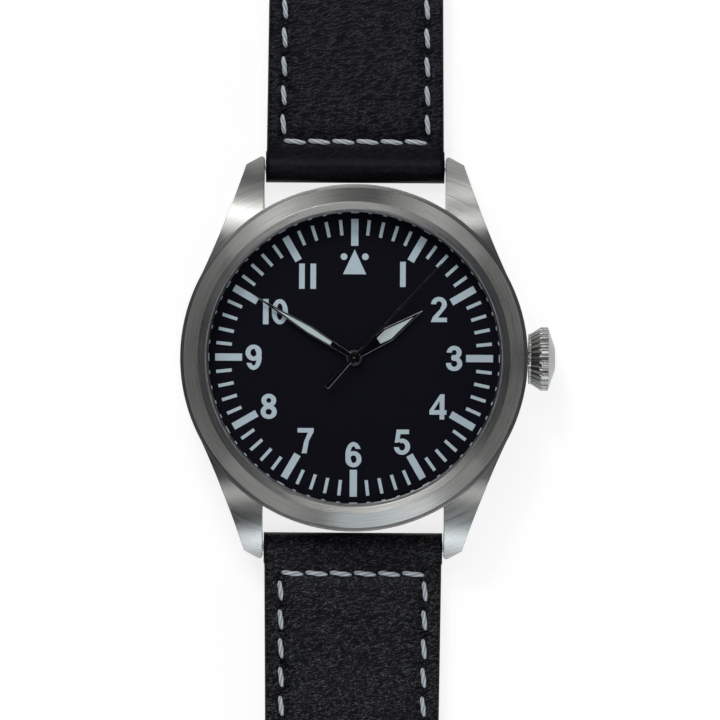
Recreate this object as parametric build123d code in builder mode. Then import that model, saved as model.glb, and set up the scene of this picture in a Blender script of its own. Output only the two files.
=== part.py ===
from build123d import *
import os
from math import acos, asin, cos, degrees, radians, sin, sqrt

os.makedirs("parts", exist_ok=True)

# A pilot watch, laid open and flat on its back. The origin is on the dial's axis, in the flat
# underside of the case back. +Z points out of the dial, +Y to 12 o'clock and +X to the crown.
# All lengths are millimetres, all angles degrees.

# Driving dimensions of the case
case_diameter = 42.0
case_r = case_diameter / 2
case_height = 7.6
back_thickness = 1.0
case_low = back_thickness
case_top = case_low + case_height
case_wall = 2.6
case_bore_r = case_r - case_wall
lug_reach = 3.65
lug_gap = 22.0
overrun = 2.0
running_gap = 0.05
fit_gap = 0.02
play = 0.1

# Lugs, seen from above and from the side
lug_tip_y = case_r + lug_reach
lug_inner_x = lug_gap / 2
lug_tip_width = 2.2
lug_tip_slant = 1.25
lug_hollow = 0.3
lug_flank_angle = 22.0
lug_tip_low = 0.5
lug_tip_height = 2.4
lug_top_start_y = case_r - 7.0
lug_bottom_start_y = case_r - 1.5
lug_tip_round = 0.35
lug_root_share = 0.55

# Bezel, crystal and the ring between crystal and dial
bezel_r = case_r - 0.45
bezel_rim_height = 0.5
bezel_cone_r = case_r - 2.2
bezel_height = 2.4
bezel_band_drop = 0.12
crystal_r = case_r - 3.2
crystal_gasket_wall = 0.15
crystal_ledge_r = crystal_r - 0.2
crystal_ledge_height = 0.7
crystal_dome = 0.35
crystal_chamfer = 0.15
snap_inner_r = case_bore_r + 0.4
snap_outer_r = snap_inner_r + 0.4
snap_depth = 0.7

# Dial and its markers
dial_r = case_bore_r - 0.1
dial_thickness = 0.4
dial_under = 7.1
dial_top = dial_under + dial_thickness
dial_hole_r = 0.78
dial_foot_r = 0.35
dial_foot_length = 1.2
dial_foot_ring_r = 12.4
dial_foot_angles = (150, 330)
rehaut_wall = 0.5
lume_height = 0.12
bar_inner_r = dial_r - 4.77
bar_outer_r = dial_r - 1.51
bar_width = 0.88
tick_inner_r = dial_r - 3.44
tick_outer_r = dial_r - 1.56
tick_width = 0.4
dash_outer_r = dial_r - 0.6
dash_depth = 0.21
dash_width = 0.44
wide_dash_width = 0.96
hours = 12
ticks_per_hour = 5
triangle_tip_r = dial_r - 5.2
triangle_base_r = triangle_tip_r - 3.0
triangle_width = 2.8
dot_r = 0.405
dot_ring_r = dial_r - 6.08
dot_offset = 1.29
numeral_height = 3.05
numeral_width = 1.95
numeral_stroke = 0.6
narrow_share = 0.35
ten_zero_share = 0.8
numeral_insets = {1: 6.62, 2: 6.5, 3: 6.2, 4: 6.57, 5: 6.57, 6: 6.6,
                  7: 6.7, 8: 6.44, 9: 6.16, 10: 7.27, 11: 6.95}

# Hands, at the time that the watch shows
hour_angle = 55.2
minute_angle = 301.6
seconds_angle = 42.5
hand_thickness = 0.15
hour_hand_low = 7.95
minute_hand_low = 8.4
seconds_hand_low = 8.85
hour_hand_length = dial_r - 8.2
hour_hand_width = 1.76
hour_hand_root_width = 0.65
hour_hand_root_r = 1.05
hour_hand_widest_r = 5.05
hour_hub_r = 0.95
hour_lume_span = (3.63, 5.0, 8.47)
hour_lume_widths = (0.75, 1.25)
minute_hand_length = dial_r - 3.6
minute_hand_width = 0.98
minute_hand_root_width = 0.5
minute_hand_widest_r = 6.3
minute_hub_r = 0.8
minute_lume_span = (3.3, 6.4, 10.97)
minute_lume_widths = (0.39, 0.64)
seconds_hand_length = dial_r - 2.8
seconds_tip_width = 0.1
seconds_root_width = 0.26
seconds_tail_length = 4.9
seconds_tail_width = 0.58
seconds_hub_r = 0.6

# Case back and the seals
back_flange_r = case_r - 1.2
back_boss_r = case_bore_r - running_gap
back_boss_height = 1.4
back_hollow_r = back_boss_r - 1.35
back_floor = 0.9
back_step_r = back_flange_r - 3.2
back_step_height = 0.25
back_notches = 6
back_notch_width = 2.6
back_notch_depth = 0.9
back_notch_height = 0.6
gasket_groove_r = case_bore_r + 0.35
gasket_width = 0.6
gasket_height = 0.45

# Crown, its tube and the stem. The stem's axis lies across the case at this height.
stem_z = 4.4
crown_start_x = case_r + 0.15
crown_neck_r = 3.05
crown_neck_length = 0.25
crown_rim_x = crown_start_x + 1.5
crown_rim_r = 3.85
crown_rim_length = 0.85
crown_end_x = crown_rim_x + 1.7
crown_end_r = 1.35
crown_flutes = 30
crown_flute_r = 0.3
crown_flute_share = 0.55
crown_travel = 1.2
tube_r = 1.25
tube_wall = 0.57
tube_end_x = case_r + 1.2
crown_cavity_end_x = tube_end_x + 0.4
crown_cavity_gap = 0.25
crown_gasket_width = 0.3
stem_r = 0.6
stem_pivot_r = 0.3
stem_end_x = crown_cavity_end_x + 0.8
stem_shoulder_x = 7.6
stem_pivot_end_x = 6.7

# Movement plates
movement_r = 13.7
plate_low = 5.2
bridge_low = 2.2
bridge_thickness = 0.6
bridge_top = bridge_low + bridge_thickness
bridge_r = 13.2
ring_low = back_thickness + back_boss_height + running_gap
dial_recess_floor = 6.2
pivot_r = 0.1
arbor_r = 0.13
jewel_r = 0.55
jewel_thickness = 0.25
pinion_bore_gap = 0.03

# Places of the wheels on the plate, as distance from the centre and angle from 3 o'clock
barrel_place = (6.5, 60)
third_place = (4.9, 262)
escape_place = (4.75, 200)
balance_place = (8.6, 168)
cock_foot_place = (11.0, 128)
train_bridge_feet = ((11.5, 222), (11.9, 262), (11.5, 305))
barrel_bridge_feet = ((12.0, 100), (12.0, 20), (12.0, 346))
foot_r = 1.1
cock_foot_r = 1.5
screw_head_r = 0.6
screw_head_height = 0.35
screw_r = 0.3
screw_length = 3.6
screw_slot_width = 0.18
screw_slot_depth = 0.12

# Teeth of the wheels
barrel_teeth, centre_pinion_teeth = 78, 12
centre_teeth, third_pinion_teeth = 80, 10
third_teeth, fourth_pinion_teeth = 75, 10
fourth_teeth, escape_pinion_teeth = 84, 7
escape_teeth = 15
cannon_teeth, minute_teeth = 12, 36
minute_pinion_teeth, hour_teeth = 10, 40
motion_distance = 2.88
minute_wheel_angle = 320
ratchet_teeth, crown_wheel_teeth = 50, 30
winding_teeth, contrate_teeth = 12, 16
addendum_share = 0.85
dedendum_share = 1.2
root_share = 0.27
tip_share = 0.1

# Heights of the wheels
fourth_wheel_low = 2.95
fourth_wheel_high = 3.1
drum_low = 3.3
drum_high = 4.5
drum_teeth_height = 0.3
third_wheel_low = 3.6
third_wheel_high = 3.75
third_pinion_low = 4.6
third_pinion_high = 4.95
centre_wheel_low = 4.7
centre_wheel_high = 4.85
centre_pinion_low = 4.1
centre_pinion_high = 4.55
fourth_pinion_low = 3.5
fourth_pinion_high = 3.85
escape_pinion_low = 2.9
escape_pinion_high = 3.15
escape_wheel_low = 4.2
escape_wheel_high = 4.35
escape_wheel_r = 2.0
escape_root_share = 0.76
escape_hook_share = 0.35
escape_tip_share = 1.3
balance_low = 3.3
balance_high = 3.6
balance_r = 3.9
balance_rim_width = 0.4
balance_arm_width = 0.35
balance_arms = 3
roller_low = 4.45
roller_high = 4.6
roller_r = 0.8
impulse_pin_r = 0.08
impulse_ring_r = 0.6
hairspring_low = 2.95
hairspring_high = 3.1
hairspring_strip = 0.06
hairspring_turns = 8
hairspring_inner_r = 0.5
hairspring_outer_r = 2.3
pallet_share = 0.44
pallet_bridge_low = 3.85
pallet_bridge_high = 4.05
pallet_bridge_r = 0.75
pallet_foot_distance = 1.7
pallet_foot_share = 0.6
mainspring_strip = 0.12
mainspring_turns = 9
mainspring_outer_r = 5.0
drum_wall = 0.25
drum_floor = 0.15
barrel_arbor_r = 0.7
mainspring_inner_r = 1.2

# Rotor
rotor_low = 1.3
rotor_high = 1.8
rotor_rim_low = 1.15
rotor_r = 13.1
rotor_rim_width = 1.6
rotor_hub_r = 2.2
rotor_post_r = 0.8
rotor_shoulder_r = 1.3
rotor_post_low = 1.25
rotor_screw_r = 1.1
rotor_screw_head = 0.2
rotor_screw_length = 0.8
rotor_window_r = 7.1
rotor_window_width = 3.0
rotor_windows = 3
rotor_window_start = 225
rotor_window_span = 90

# Winding work
winding_x = 9.9
winding_length = 1.0
winding_r = 1.3
sliding_x = 8.0
sliding_length = 1.55
sliding_r = 1.1
sleeve_share = 0.8
stem_module_share = 0.86
stem_tooth_share = 0.7
stem_mesh_angle = 270
crown_wheel_x = 8.7
contrate_outer_r = 2.1
contrate_inner_r = 1.5
contrate_high = 3.1
contrate_tooth = 0.2
click_wheel_low = 1.95
click_wheel_high = 2.15

# Spring bars
bar_y = case_r + 2.15
bar_z = 2.1
bar_r = 0.9
bar_bore_r = 0.62
bar_half_length = lug_inner_x - 1.8
tip_shoulder_end_x = lug_inner_x - play
tip_shoulder_x = tip_shoulder_end_x - 0.5
tip_shank_start_x = bar_half_length - 1.8
tip_nose_r = 0.4
tip_nose_end_x = lug_inner_x + 1.0
tip_shank_r = 0.55
lug_hole_r = 0.45
lug_hole_depth = 1.3

# Strap: the end round the spring bar, then the upper and the lining
strap_end_r = 1.9
strap_tunnel_r = 1.05
strap_width = lug_gap - 0.3
strap_outer_width = strap_width - 0.2
strap_buckle_width = strap_width - 1.7
strap_low = bar_z - strap_end_r
lining_thickness = 1.0
fold_tail_y = bar_y + 2.45
fold_gap = 0.05
padding_y = bar_y + 6.85
padding_rise = 0.4
rise_end_y = padding_y + 17.0
buckle_rise = 1.2
buckle_y = bar_y + 74.85
buckle_end_r = 1.6
buckle_tunnel_r = 0.95
strap_edge_round = 0.7
edge_side_share = 0.45
strap_tip_y = bar_y + 119.85
strap_thin = 2.6
strap_tip_width = strap_width - 2.7
strap_tip_point = 9.0
strap_hole_r = 0.95
strap_holes = 7
strap_hole_pitch = 6.5
strap_hole_start_y = strap_tip_y - 14.0 - (strap_holes - 1) * strap_hole_pitch
tongue_slot_width = 3.2
tongue_slot_length = 4.6

# Stitching
stitch_inset = 1.95
stitch_start_y = bar_y + 3.05
stitch_pitch = 3.5
stitch_length = 2.46
stitch_width = 0.58
stitch_height = 0.35
stitch_proud = 0.12
cross_stitches = 6
cross_pitch = (strap_outer_width - 2 * stitch_inset) / cross_stitches
cross_length = cross_pitch - 0.2
side_start_y = stitch_start_y + 2.1
side_end_margin_12 = 8.0
side_end_margin_6 = 15.0
side_stitches_12 = 1 + int((buckle_y - side_start_y - side_end_margin_12) / stitch_pitch)
side_stitches_6 = 1 + int((strap_tip_y - side_start_y - side_end_margin_6) / stitch_pitch)

# Keepers and buckle
keeper_length = 5.0
keeper_thickness = 0.8
fixed_keeper_y = buckle_y - 8.0
free_keeper_y = fixed_keeper_y - 10.0
keeper_half_width = strap_outer_width / 2
free_keeper_gap = 0.15
keeper_room = 2.8
keeper_round = 0.7
buckle_bar_r = 0.75
frame_inner_width = strap_buckle_width + 0.6
frame_arm_width = 2.2
frame_thickness = 2.0
frame_reach = 12.0
frame_cross_width = 2.6
frame_back_reach = 1.6
frame_corner = 2.0
frame_edge = 0.4
frame_drop = 0.6
tongue_width = 2.4
tongue_thickness = 1.1
tongue_loop_r = 1.35
tongue_reach = 13.2


# Helpers that add to, or cut from, the piece in hand
def disc(radius, low, high, centre=(0, 0), bore=0, mode=Mode.ADD):
    """A round disc between two heights, with a bore where one is given."""
    with BuildSketch(Plane.XY.offset(low)) as face:
        with Locations(centre):
            Circle(radius)
            if bore:
                Circle(bore, mode=Mode.SUBTRACT)
    extrude(face.sketch, amount=high - low, mode=mode)


def turned(*points, mode=Mode.ADD):
    """A ring turned about the dial's axis, from its half section."""
    with BuildSketch(Plane.XZ) as face:
        with BuildLine():
            Polyline(*points, close=True)
        make_face()
    revolve(face.sketch, axis=Axis.Z, mode=mode)


def stem_turned(*points, mode=Mode.ADD):
    """A piece turned about the stem's axis, from points of distance along it and radius."""
    with BuildSketch(Plane.XZ) as face:
        with BuildLine():
            Polyline(*[(x, stem_z + r) for x, r in points], close=True)
        make_face()
    revolve(face.sketch, axis=Axis((0, 0, stem_z), (1, 0, 0)), mode=mode)


def cross_bar(radius, start_x, end_x, y, z, bore=0, mode=Mode.ADD):
    """A round bar that lies along X, with a bore where one is given."""
    with BuildSketch(Plane.YZ.offset(start_x)) as face:
        with Locations((y, z)):
            Circle(radius)
            if bore:
                Circle(bore, mode=Mode.SUBTRACT)
    extrude(face.sketch, amount=end_x - start_x, mode=mode)


def block(x_span, y_span, z_span, mode=Mode.ADD):
    """A box between two places along each axis."""
    with BuildSketch(Plane.XY.offset(z_span[0])) as face:
        with Locations(((x_span[0] + x_span[1]) / 2, (y_span[0] + y_span[1]) / 2)):
            Rectangle(x_span[1] - x_span[0], y_span[1] - y_span[0])
    extrude(face.sketch, amount=z_span[1] - z_span[0], mode=mode)


def place(polar):
    """The plan point of a distance from the centre and an angle from 3 o'clock."""
    distance, angle = polar
    return (distance * cos(radians(angle)), distance * sin(radians(angle)))


def save(piece, name):
    """Label the finished piece and write its file."""
    piece.part.label = name
    export_step(piece.part, "parts/" + name + ".step")


def tooth_points(teeth, module, phase, addendum, dedendum, centre=(0, 0)):
    """The outline of a wheel with straight-sided teeth, the first one centred on the phase."""
    pitch_r = teeth * module / 2
    pitch = 360 / teeth
    root_r = pitch_r - dedendum
    tip_r = pitch_r + addendum
    points = []
    for tooth in range(teeth):
        middle = phase + tooth * pitch
        for radius, turn in ((root_r, -root_share), (tip_r, -tip_share),
                             (tip_r, tip_share), (root_r, root_share)):
            angle = radians(middle + turn * pitch)
            points.append((centre[0] + radius * cos(angle), centre[1] + radius * sin(angle)))
    return points


def toothed(teeth, module, low, high, centre=(0, 0), phase=0, bore=0):
    """A toothed disc between two heights."""
    outline = tooth_points(teeth, module, phase, module * addendum_share,
                           module * dedendum_share, centre)
    with BuildSketch(Plane.XY.offset(low)) as face:
        with BuildLine():
            Polyline(*outline, close=True)
        make_face()
        if bore:
            with Locations(centre):
                Circle(bore, mode=Mode.SUBTRACT)
    extrude(face.sketch, amount=high - low)


def meshing_phase(direction, teeth, other_teeth, other_phase):
    """The phase that puts a gap of this wheel on the line to the other wheel's tooth."""
    other_pitch = 360 / other_teeth
    off_line = (direction + 180 - other_phase) / other_pitch % 1
    return direction + (off_line + 1 / 2) * 360 / teeth


def spokes(count, inner_r, outer_r, width, low, high, centre):
    """Cut the windows between the spokes of a wheel."""
    with BuildSketch(Plane.XY.offset(low)) as face:
        with Locations(centre):
            Circle(outer_r)
            Circle(inner_r, mode=Mode.SUBTRACT)
            with PolarLocations(0, count):
                Rectangle(outer_r + width, width, align=(Align.MIN, Align.CENTER),
                          mode=Mode.SUBTRACT)
    extrude(face.sketch, amount=high - low, mode=Mode.SUBTRACT)


def spiral(inner_r, outer_r, turns, strip, low, high, centre):
    """A coiled strip, drawn as half circles whose ends step outwards."""
    half_turns = 2 * turns
    step = (outer_r - inner_r) / half_turns
    with BuildSketch(Plane.XY.offset(low)) as face:
        with BuildLine() as path:
            for half in range(half_turns):
                side = 1 if half % 2 == 0 else -1
                start_r = inner_r + half * step
                end_r = start_r + step
                middle_x = centre[0] + side * (start_r - end_r) / 2
                middle_r = (start_r + end_r) / 2
                ThreePointArc((centre[0] + side * start_r, centre[1]),
                              (middle_x, centre[1] + side * middle_r),
                              (centre[0] - side * end_r, centre[1]))
        trace(path.line, line_width=strip)
    extrude(face.sketch, amount=high - low)


# Case middle: a ring with four lugs
flank_point = (case_r * cos(radians(lug_flank_angle)), case_r * sin(radians(lug_flank_angle)))
tip_corner = (lug_inner_x + lug_tip_width, lug_tip_y - lug_tip_slant)
flank_middle = ((flank_point[0] + tip_corner[0]) / 2 - lug_hollow * cos(radians(lug_flank_angle)),
                (flank_point[1] + tip_corner[1]) / 2 - lug_hollow * sin(radians(lug_flank_angle)))
lug_root = (lug_inner_x, case_r * lug_root_share)
lug_tip_top = lug_tip_low + lug_tip_height
lug_run = lug_tip_y - lug_top_start_y
lug_fall = case_top - lug_tip_top
lug_arc_r = (lug_run**2 + lug_fall**2) / (2 * lug_fall)
lug_half_turn = asin(lug_run / lug_arc_r) / 2
lug_arc_middle = (lug_top_start_y + lug_arc_r * sin(lug_half_turn),
                  case_top - lug_arc_r * (1 - cos(lug_half_turn)))

with BuildPart() as lug:
    with BuildSketch(Plane.XY):
        with BuildLine():
            Polyline(flank_point, (lug_root[0], flank_point[1]), lug_root,
                     (lug_inner_x, lug_tip_y), tip_corner)
            ThreePointArc(tip_corner, flank_middle, flank_point)
        make_face()
    extrude(amount=case_top + overrun)
    with BuildSketch(Plane.YZ):
        with BuildLine():
            Polyline((lug_top_start_y, case_top), (0, case_top), (0, case_low),
                     (lug_bottom_start_y, case_low), (lug_tip_y, lug_tip_low),
                     (lug_tip_y, lug_tip_top))
            ThreePointArc((lug_tip_y, lug_tip_top), lug_arc_middle, (lug_top_start_y, case_top))
        make_face()
    extrude(amount=case_diameter, mode=Mode.INTERSECT)
    fillet(lug.edges().filter_by(lambda edge: edge.center().Y > lug_tip_y - play), lug_tip_round)

with BuildPart() as case_middle:
    disc(case_r, case_low, case_top)
    add(lug.part)
    mirror(lug.part, about=Plane.YZ)
    mirror(lug.part, about=Plane.XZ)
    mirror(mirror(lug.part, about=Plane.XZ, mode=Mode.PRIVATE), about=Plane.YZ)
    disc(case_bore_r, case_low - overrun, case_top + overrun, mode=Mode.SUBTRACT)
    disc(snap_outer_r + running_gap, case_top - snap_depth - running_gap, case_top + overrun,
         bore=snap_inner_r - running_gap, mode=Mode.SUBTRACT)
    disc(gasket_groove_r + gasket_width + running_gap, case_low - overrun,
         case_low + gasket_height + running_gap, bore=gasket_groove_r - running_gap,
         mode=Mode.SUBTRACT)
    cross_bar(tube_r, case_bore_r - overrun, case_r + overrun, 0, stem_z, mode=Mode.SUBTRACT)
    for side in (1, -1):
        cross_bar(lug_hole_r, -lug_inner_x - lug_hole_depth, lug_inner_x + lug_hole_depth,
                  side * bar_y, bar_z, mode=Mode.SUBTRACT)
save(case_middle, "case_middle")

# Bezel, crystal, gasket and the black ring above the dial
bezel_top = case_top + bezel_height
bezel_bore_r = crystal_r + crystal_gasket_wall
crystal_low = case_top + crystal_ledge_height
with BuildPart() as bezel:
    turned((crystal_ledge_r, case_top), (bezel_r, case_top), (bezel_r, case_top + bezel_rim_height),
           (bezel_cone_r, bezel_top), (bezel_bore_r, bezel_top - bezel_band_drop),
           (bezel_bore_r, crystal_low), (crystal_ledge_r, crystal_low))
    disc(snap_outer_r, case_top - snap_depth, case_top, bore=snap_inner_r)
save(bezel, "bezel")

crystal_edge_top = bezel_top - bezel_band_drop + running_gap
with BuildPart() as crystal:
    with BuildSketch(Plane.XZ):
        with BuildLine():
            rim = crystal_r - crystal_chamfer
            Polyline((0, crystal_edge_top + crystal_dome), (0, crystal_low), (crystal_r, crystal_low),
                     (crystal_r, crystal_edge_top - crystal_chamfer), (rim, crystal_edge_top))
            arc_r = (rim**2 + crystal_dome**2) / (2 * crystal_dome)
            half_turn = asin(rim / arc_r) / 2
            ThreePointArc((rim, crystal_edge_top),
                          (arc_r * sin(half_turn),
                           crystal_edge_top + crystal_dome - arc_r * (1 - cos(half_turn))),
                          (0, crystal_edge_top + crystal_dome))
        make_face()
    revolve(axis=Axis.Z)
save(crystal, "crystal")

with BuildPart() as crystal_gasket:
    disc(bezel_bore_r, crystal_low, bezel_top - bezel_band_drop, bore=crystal_r)
save(crystal_gasket, "crystal_gasket")

rehaut_r = dash_outer_r + play / 2
with BuildPart() as rehaut_ring:
    disc(rehaut_r + rehaut_wall, dial_top, case_top, bore=rehaut_r)
save(rehaut_ring, "rehaut_ring")

# Dial: a thin plate with two feet
with BuildPart() as dial:
    disc(dial_r, dial_under, dial_top, bore=dial_hole_r)
    for angle in dial_foot_angles:
        disc(dial_foot_r, dial_under - dial_foot_length, dial_under,
             centre=place((dial_foot_ring_r, angle)))
save(dial, "dial")


# Numerals. A round stroke is an oval ring with a window cut out of it, and the rest is straight.
# Ovals are (middle height, half width, half height) and windows and bars are points, all as
# shares of half the numeral's width or height, measured from its middle.
ovals_shares = {
    0: ((0.0, 1.0, 1.0),),
    2: ((0.4, 0.98, 0.6),),
    3: ((0.46, 0.92, 0.54), (-0.42, 1.0, 0.58)),
    5: ((-0.36, 1.0, 0.64),),
    6: ((0.0, 1.0, 1.0), (-0.36, 1.0, 0.64)),
    8: ((0.47, 0.92, 0.53), (-0.43, 1.0, 0.57)),
    9: ((0.0, 1.0, 1.0), (0.36, 1.0, 0.64)),
}
windows_shares = {
    2: (((-1.2, 0.42), (0.2, 0.42), (0.2, -0.1), (-1.2, -0.3)), ((-1.2, 0.1), (1.2, 0.1),
        (1.2, -0.4), (-1.2, -0.4))),
    3: (((-1.2, 0.46), (-0.2, 0.46), (-0.2, -0.36), (-1.2, -0.36)),),
    5: (((-1.2, -0.4), (-0.2, -0.4), (-0.2, 0.0), (-0.5, 0.02), (-1.2, 0.3)),),
    6: (((0.0, 0.46), (1.2, 0.46), (1.2, -0.36), (0.0, -0.36)), ((-0.2, -0.36), (1.2, -0.36),
        (1.2, -1.2), (-0.2, -1.2))),
    9: (((0.0, -0.46), (-1.2, -0.46), (-1.2, 0.36), (0.0, 0.36)), ((0.2, 0.36), (-1.2, 0.36),
        (-1.2, 1.2), (0.2, 1.2))),
}
bars_shares = {
    2: (((-1.0, -1.0), (1.0, -1.0), (1.0, -0.65), (-0.12, -0.65), (0.88, 0.14), (0.98, 0.4),
         (0.38, 0.4), (0.3, 0.14), (-0.74, -0.58)),),
    3: (((-0.36, 0.2), (0.0, 0.2), (0.3, 0.06), (0.1, -0.12), (-0.36, -0.12)),),
    4: (((0.82, -1.0), (0.82, -0.62), (1.08, -0.62), (1.08, -0.26), (0.82, -0.26), (0.82, 1.0),
         (0.3, 1.0), (-1.04, -0.28), (-1.04, -0.62), (0.22, -0.62), (0.22, -1.0)),),
    5: (((-0.68, 1.0), (0.86, 1.0), (0.86, 0.64), (-0.2, 0.64), (-0.32, 0.22), (-0.4, -0.02),
         (-0.92, -0.06)),),
    7: (((-1.0, 1.0), (1.0, 1.0), (1.0, 0.7), (0.42, 0.0), (0.14, -1.0), (-0.48, -1.0),
         (-0.2, -0.1), (0.28, 0.64), (-1.0, 0.64)),),
}
four_window_shares = ((0.22, -0.26), (0.22, 0.46), (-0.5, -0.26))
flat_stroke_share = 0.86


def numeral_point(share, centre):
    """The dial point for a pair of shares of a numeral's half width and half height."""
    return (centre[0] + share[0] * numeral_width / 2, centre[1] + share[1] * numeral_height / 2)


def add_outline(points, mode=Mode.ADD):
    """Add or cut a straight-sided outline in the open sketch."""
    with BuildLine(mode=Mode.PRIVATE) as outline:
        Polyline(*points, close=True)
    make_face(outline.line.edges(), mode=mode)


def oval_ring(oval, windows, centre):
    """An oval ring of the numerals' stroke, without what lies in its windows."""
    middle, width_share, height_share = oval
    half_width = width_share * numeral_width / 2
    half_height = height_share * numeral_height / 2
    with BuildSketch(mode=Mode.PRIVATE) as ring:
        with Locations(numeral_point((0, middle), centre)):
            Ellipse(half_width, half_height)
            Ellipse(half_width - numeral_stroke, half_height - numeral_stroke * flat_stroke_share,
                    mode=Mode.SUBTRACT)
        for window in windows:
            add_outline([numeral_point(share, centre) for share in window], Mode.SUBTRACT)
    add(ring.sketch)


def draw_figure(figure, centre):
    """Draw one figure into the open sketch."""
    windows = windows_shares.get(figure, ())
    closed_bowl = figure in (6, 9)
    for number, oval in enumerate(ovals_shares.get(figure, ())):
        oval_ring(oval, () if closed_bowl and number else windows, centre)
    for outline in bars_shares.get(figure, ()):
        add_outline([numeral_point(share, centre) for share in outline])
    if figure == 4:
        add_outline([numeral_point(share, centre) for share in four_window_shares], Mode.SUBTRACT)


one_width = numeral_width * narrow_share
eleven_offset = one_width
ten_bar_offset = -numeral_width / 2 - one_width / 4
ten_zero_offset = one_width * ten_zero_share

with BuildPart() as dial_markers:
    with BuildSketch(Plane.XY.offset(dial_top)):
        with PolarLocations(bar_inner_r, hours):
            Rectangle(bar_outer_r - bar_inner_r, bar_width, align=(Align.MIN, Align.CENTER))
        for tick in range(hours * ticks_per_hour):
            angle = tick * 360 / (hours * ticks_per_hour)
            on_hour = tick % ticks_per_hour == 0
            if not on_hour:
                with PolarLocations(tick_inner_r, 1, start_angle=angle):
                    Rectangle(tick_outer_r - tick_inner_r, tick_width,
                              align=(Align.MIN, Align.CENTER))
            with PolarLocations(dash_outer_r, 1, start_angle=angle):
                Rectangle(dash_depth, wide_dash_width if on_hour else dash_width,
                          align=(Align.MAX, Align.CENTER))
        add_outline(((0, triangle_tip_r), (-triangle_width / 2, triangle_base_r),
                     (triangle_width / 2, triangle_base_r)))
        with Locations((dot_offset, dot_ring_r), (-dot_offset, dot_ring_r)):
            Circle(dot_r)
        for hour, inset in numeral_insets.items():
            centre = place((dial_r - inset, 90 - hour * 360 / hours))
            if hour == 1:
                with Locations(centre):
                    Rectangle(one_width, numeral_height)
            elif hour == 11:
                with Locations((centre[0] - eleven_offset, centre[1]),
                               (centre[0] + eleven_offset, centre[1])):
                    Rectangle(one_width, numeral_height)
            else:
                zero_x = centre[0] + (ten_zero_offset if hour == 10 else 0)
                draw_figure(hour % 10, (zero_x, centre[1]))
                if hour == 10:
                    with Locations((centre[0] + ten_bar_offset, centre[1])):
                        Rectangle(one_width, numeral_height)
    extrude(amount=lume_height)
save(dial_markers, "dial_markers")


# Hands: a tapering blade on a hub, with a slot that holds the lume
def clock_plane(height, angle):
    """The plane at a height whose +Y points to a clockwise angle from 12 o'clock."""
    return Plane.XY.offset(height).rotated((0, 0, -angle))


def blade_points(span, widths):
    """A blade that widens from its root to its widest place, then runs to a point."""
    root, widest, tip = span
    root_width, widest_width = widths
    return ((-root_width / 2, root), (-widest_width / 2, widest), (0, tip),
            (widest_width / 2, widest), (root_width / 2, root))


cannon_tube_r = 0.48
hour_tube_r = 0.7
seconds_arbor_r = 0.12
centre_tube_bore_r = 0.15
centre_tube_r = 0.3
seconds_pipe_r = 0.25

with BuildPart() as hour_hand:
    with BuildSketch(clock_plane(hour_hand_low, hour_angle)):
        with BuildLine():
            Polyline(*blade_points((0, hour_hand_widest_r, hour_hand_length),
                                   (hour_hand_root_width, hour_hand_width)), close=True)
        make_face()
        Circle(hour_hub_r)
        Circle(hour_tube_r, mode=Mode.SUBTRACT)
        with BuildLine():
            Polyline(*blade_points(hour_lume_span, hour_lume_widths), close=True)
        make_face(mode=Mode.SUBTRACT)
    extrude(amount=hand_thickness)
save(hour_hand, "hour_hand")

with BuildPart() as hour_hand_lume:
    with BuildSketch(clock_plane(hour_hand_low, hour_angle)):
        with BuildLine():
            Polyline(*blade_points(hour_lume_span, hour_lume_widths), close=True)
        make_face()
    extrude(amount=hand_thickness + fit_gap)
save(hour_hand_lume, "hour_hand_lume")

with BuildPart() as minute_hand:
    with BuildSketch(clock_plane(minute_hand_low, minute_angle)):
        with BuildLine():
            Polyline(*blade_points((0, minute_hand_widest_r, minute_hand_length),
                                   (minute_hand_root_width, minute_hand_width)), close=True)
        make_face()
        Circle(minute_hub_r)
        Circle(cannon_tube_r, mode=Mode.SUBTRACT)
        with BuildLine():
            Polyline(*blade_points(minute_lume_span, minute_lume_widths), close=True)
        make_face(mode=Mode.SUBTRACT)
    extrude(amount=hand_thickness)
save(minute_hand, "minute_hand")

with BuildPart() as minute_hand_lume:
    with BuildSketch(clock_plane(minute_hand_low, minute_angle)):
        with BuildLine():
            Polyline(*blade_points(minute_lume_span, minute_lume_widths), close=True)
        make_face()
    extrude(amount=hand_thickness + fit_gap)
save(minute_hand_lume, "minute_hand_lume")

with BuildPart() as seconds_hand:
    with BuildSketch(clock_plane(seconds_hand_low, seconds_angle)):
        with BuildLine():
            Polyline((-seconds_tip_width / 2, seconds_hand_length),
                     (-seconds_root_width / 2, 0), (-seconds_tail_width / 2, -seconds_tail_length),
                     (seconds_tail_width / 2, -seconds_tail_length), (seconds_root_width / 2, 0),
                     (seconds_tip_width / 2, seconds_hand_length), close=True)
        make_face()
        Circle(seconds_hub_r)
        Circle(seconds_arbor_r, mode=Mode.SUBTRACT)
    extrude(amount=hand_thickness)
    disc(seconds_pipe_r, seconds_hand_low - hand_thickness, seconds_hand_low,
         bore=seconds_arbor_r)
save(seconds_hand, "seconds_hand")

# Case back with its boss, the gasket and the ring that holds the movement
with BuildPart() as case_back:
    disc(back_flange_r, 0, back_thickness)
    disc(back_boss_r, back_thickness, back_thickness + back_boss_height)
    disc(back_hollow_r, back_floor, back_thickness + back_boss_height, mode=Mode.SUBTRACT)
    turned((back_step_r, 0), (back_flange_r, 0), (back_flange_r, back_step_height),
           (back_step_r + back_step_height, back_step_height), mode=Mode.SUBTRACT)
    with BuildSketch(Plane.XY):
        with PolarLocations(back_flange_r - back_notch_depth, back_notches):
            Rectangle(back_notch_depth + overrun, back_notch_width,
                      align=(Align.MIN, Align.CENTER))
    extrude(amount=back_notch_height, mode=Mode.SUBTRACT)
save(case_back, "case_back")

with BuildPart() as case_back_gasket:
    disc(gasket_groove_r + gasket_width, case_low, case_low + gasket_height, bore=gasket_groove_r)
save(case_back_gasket, "case_back_gasket")

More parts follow.
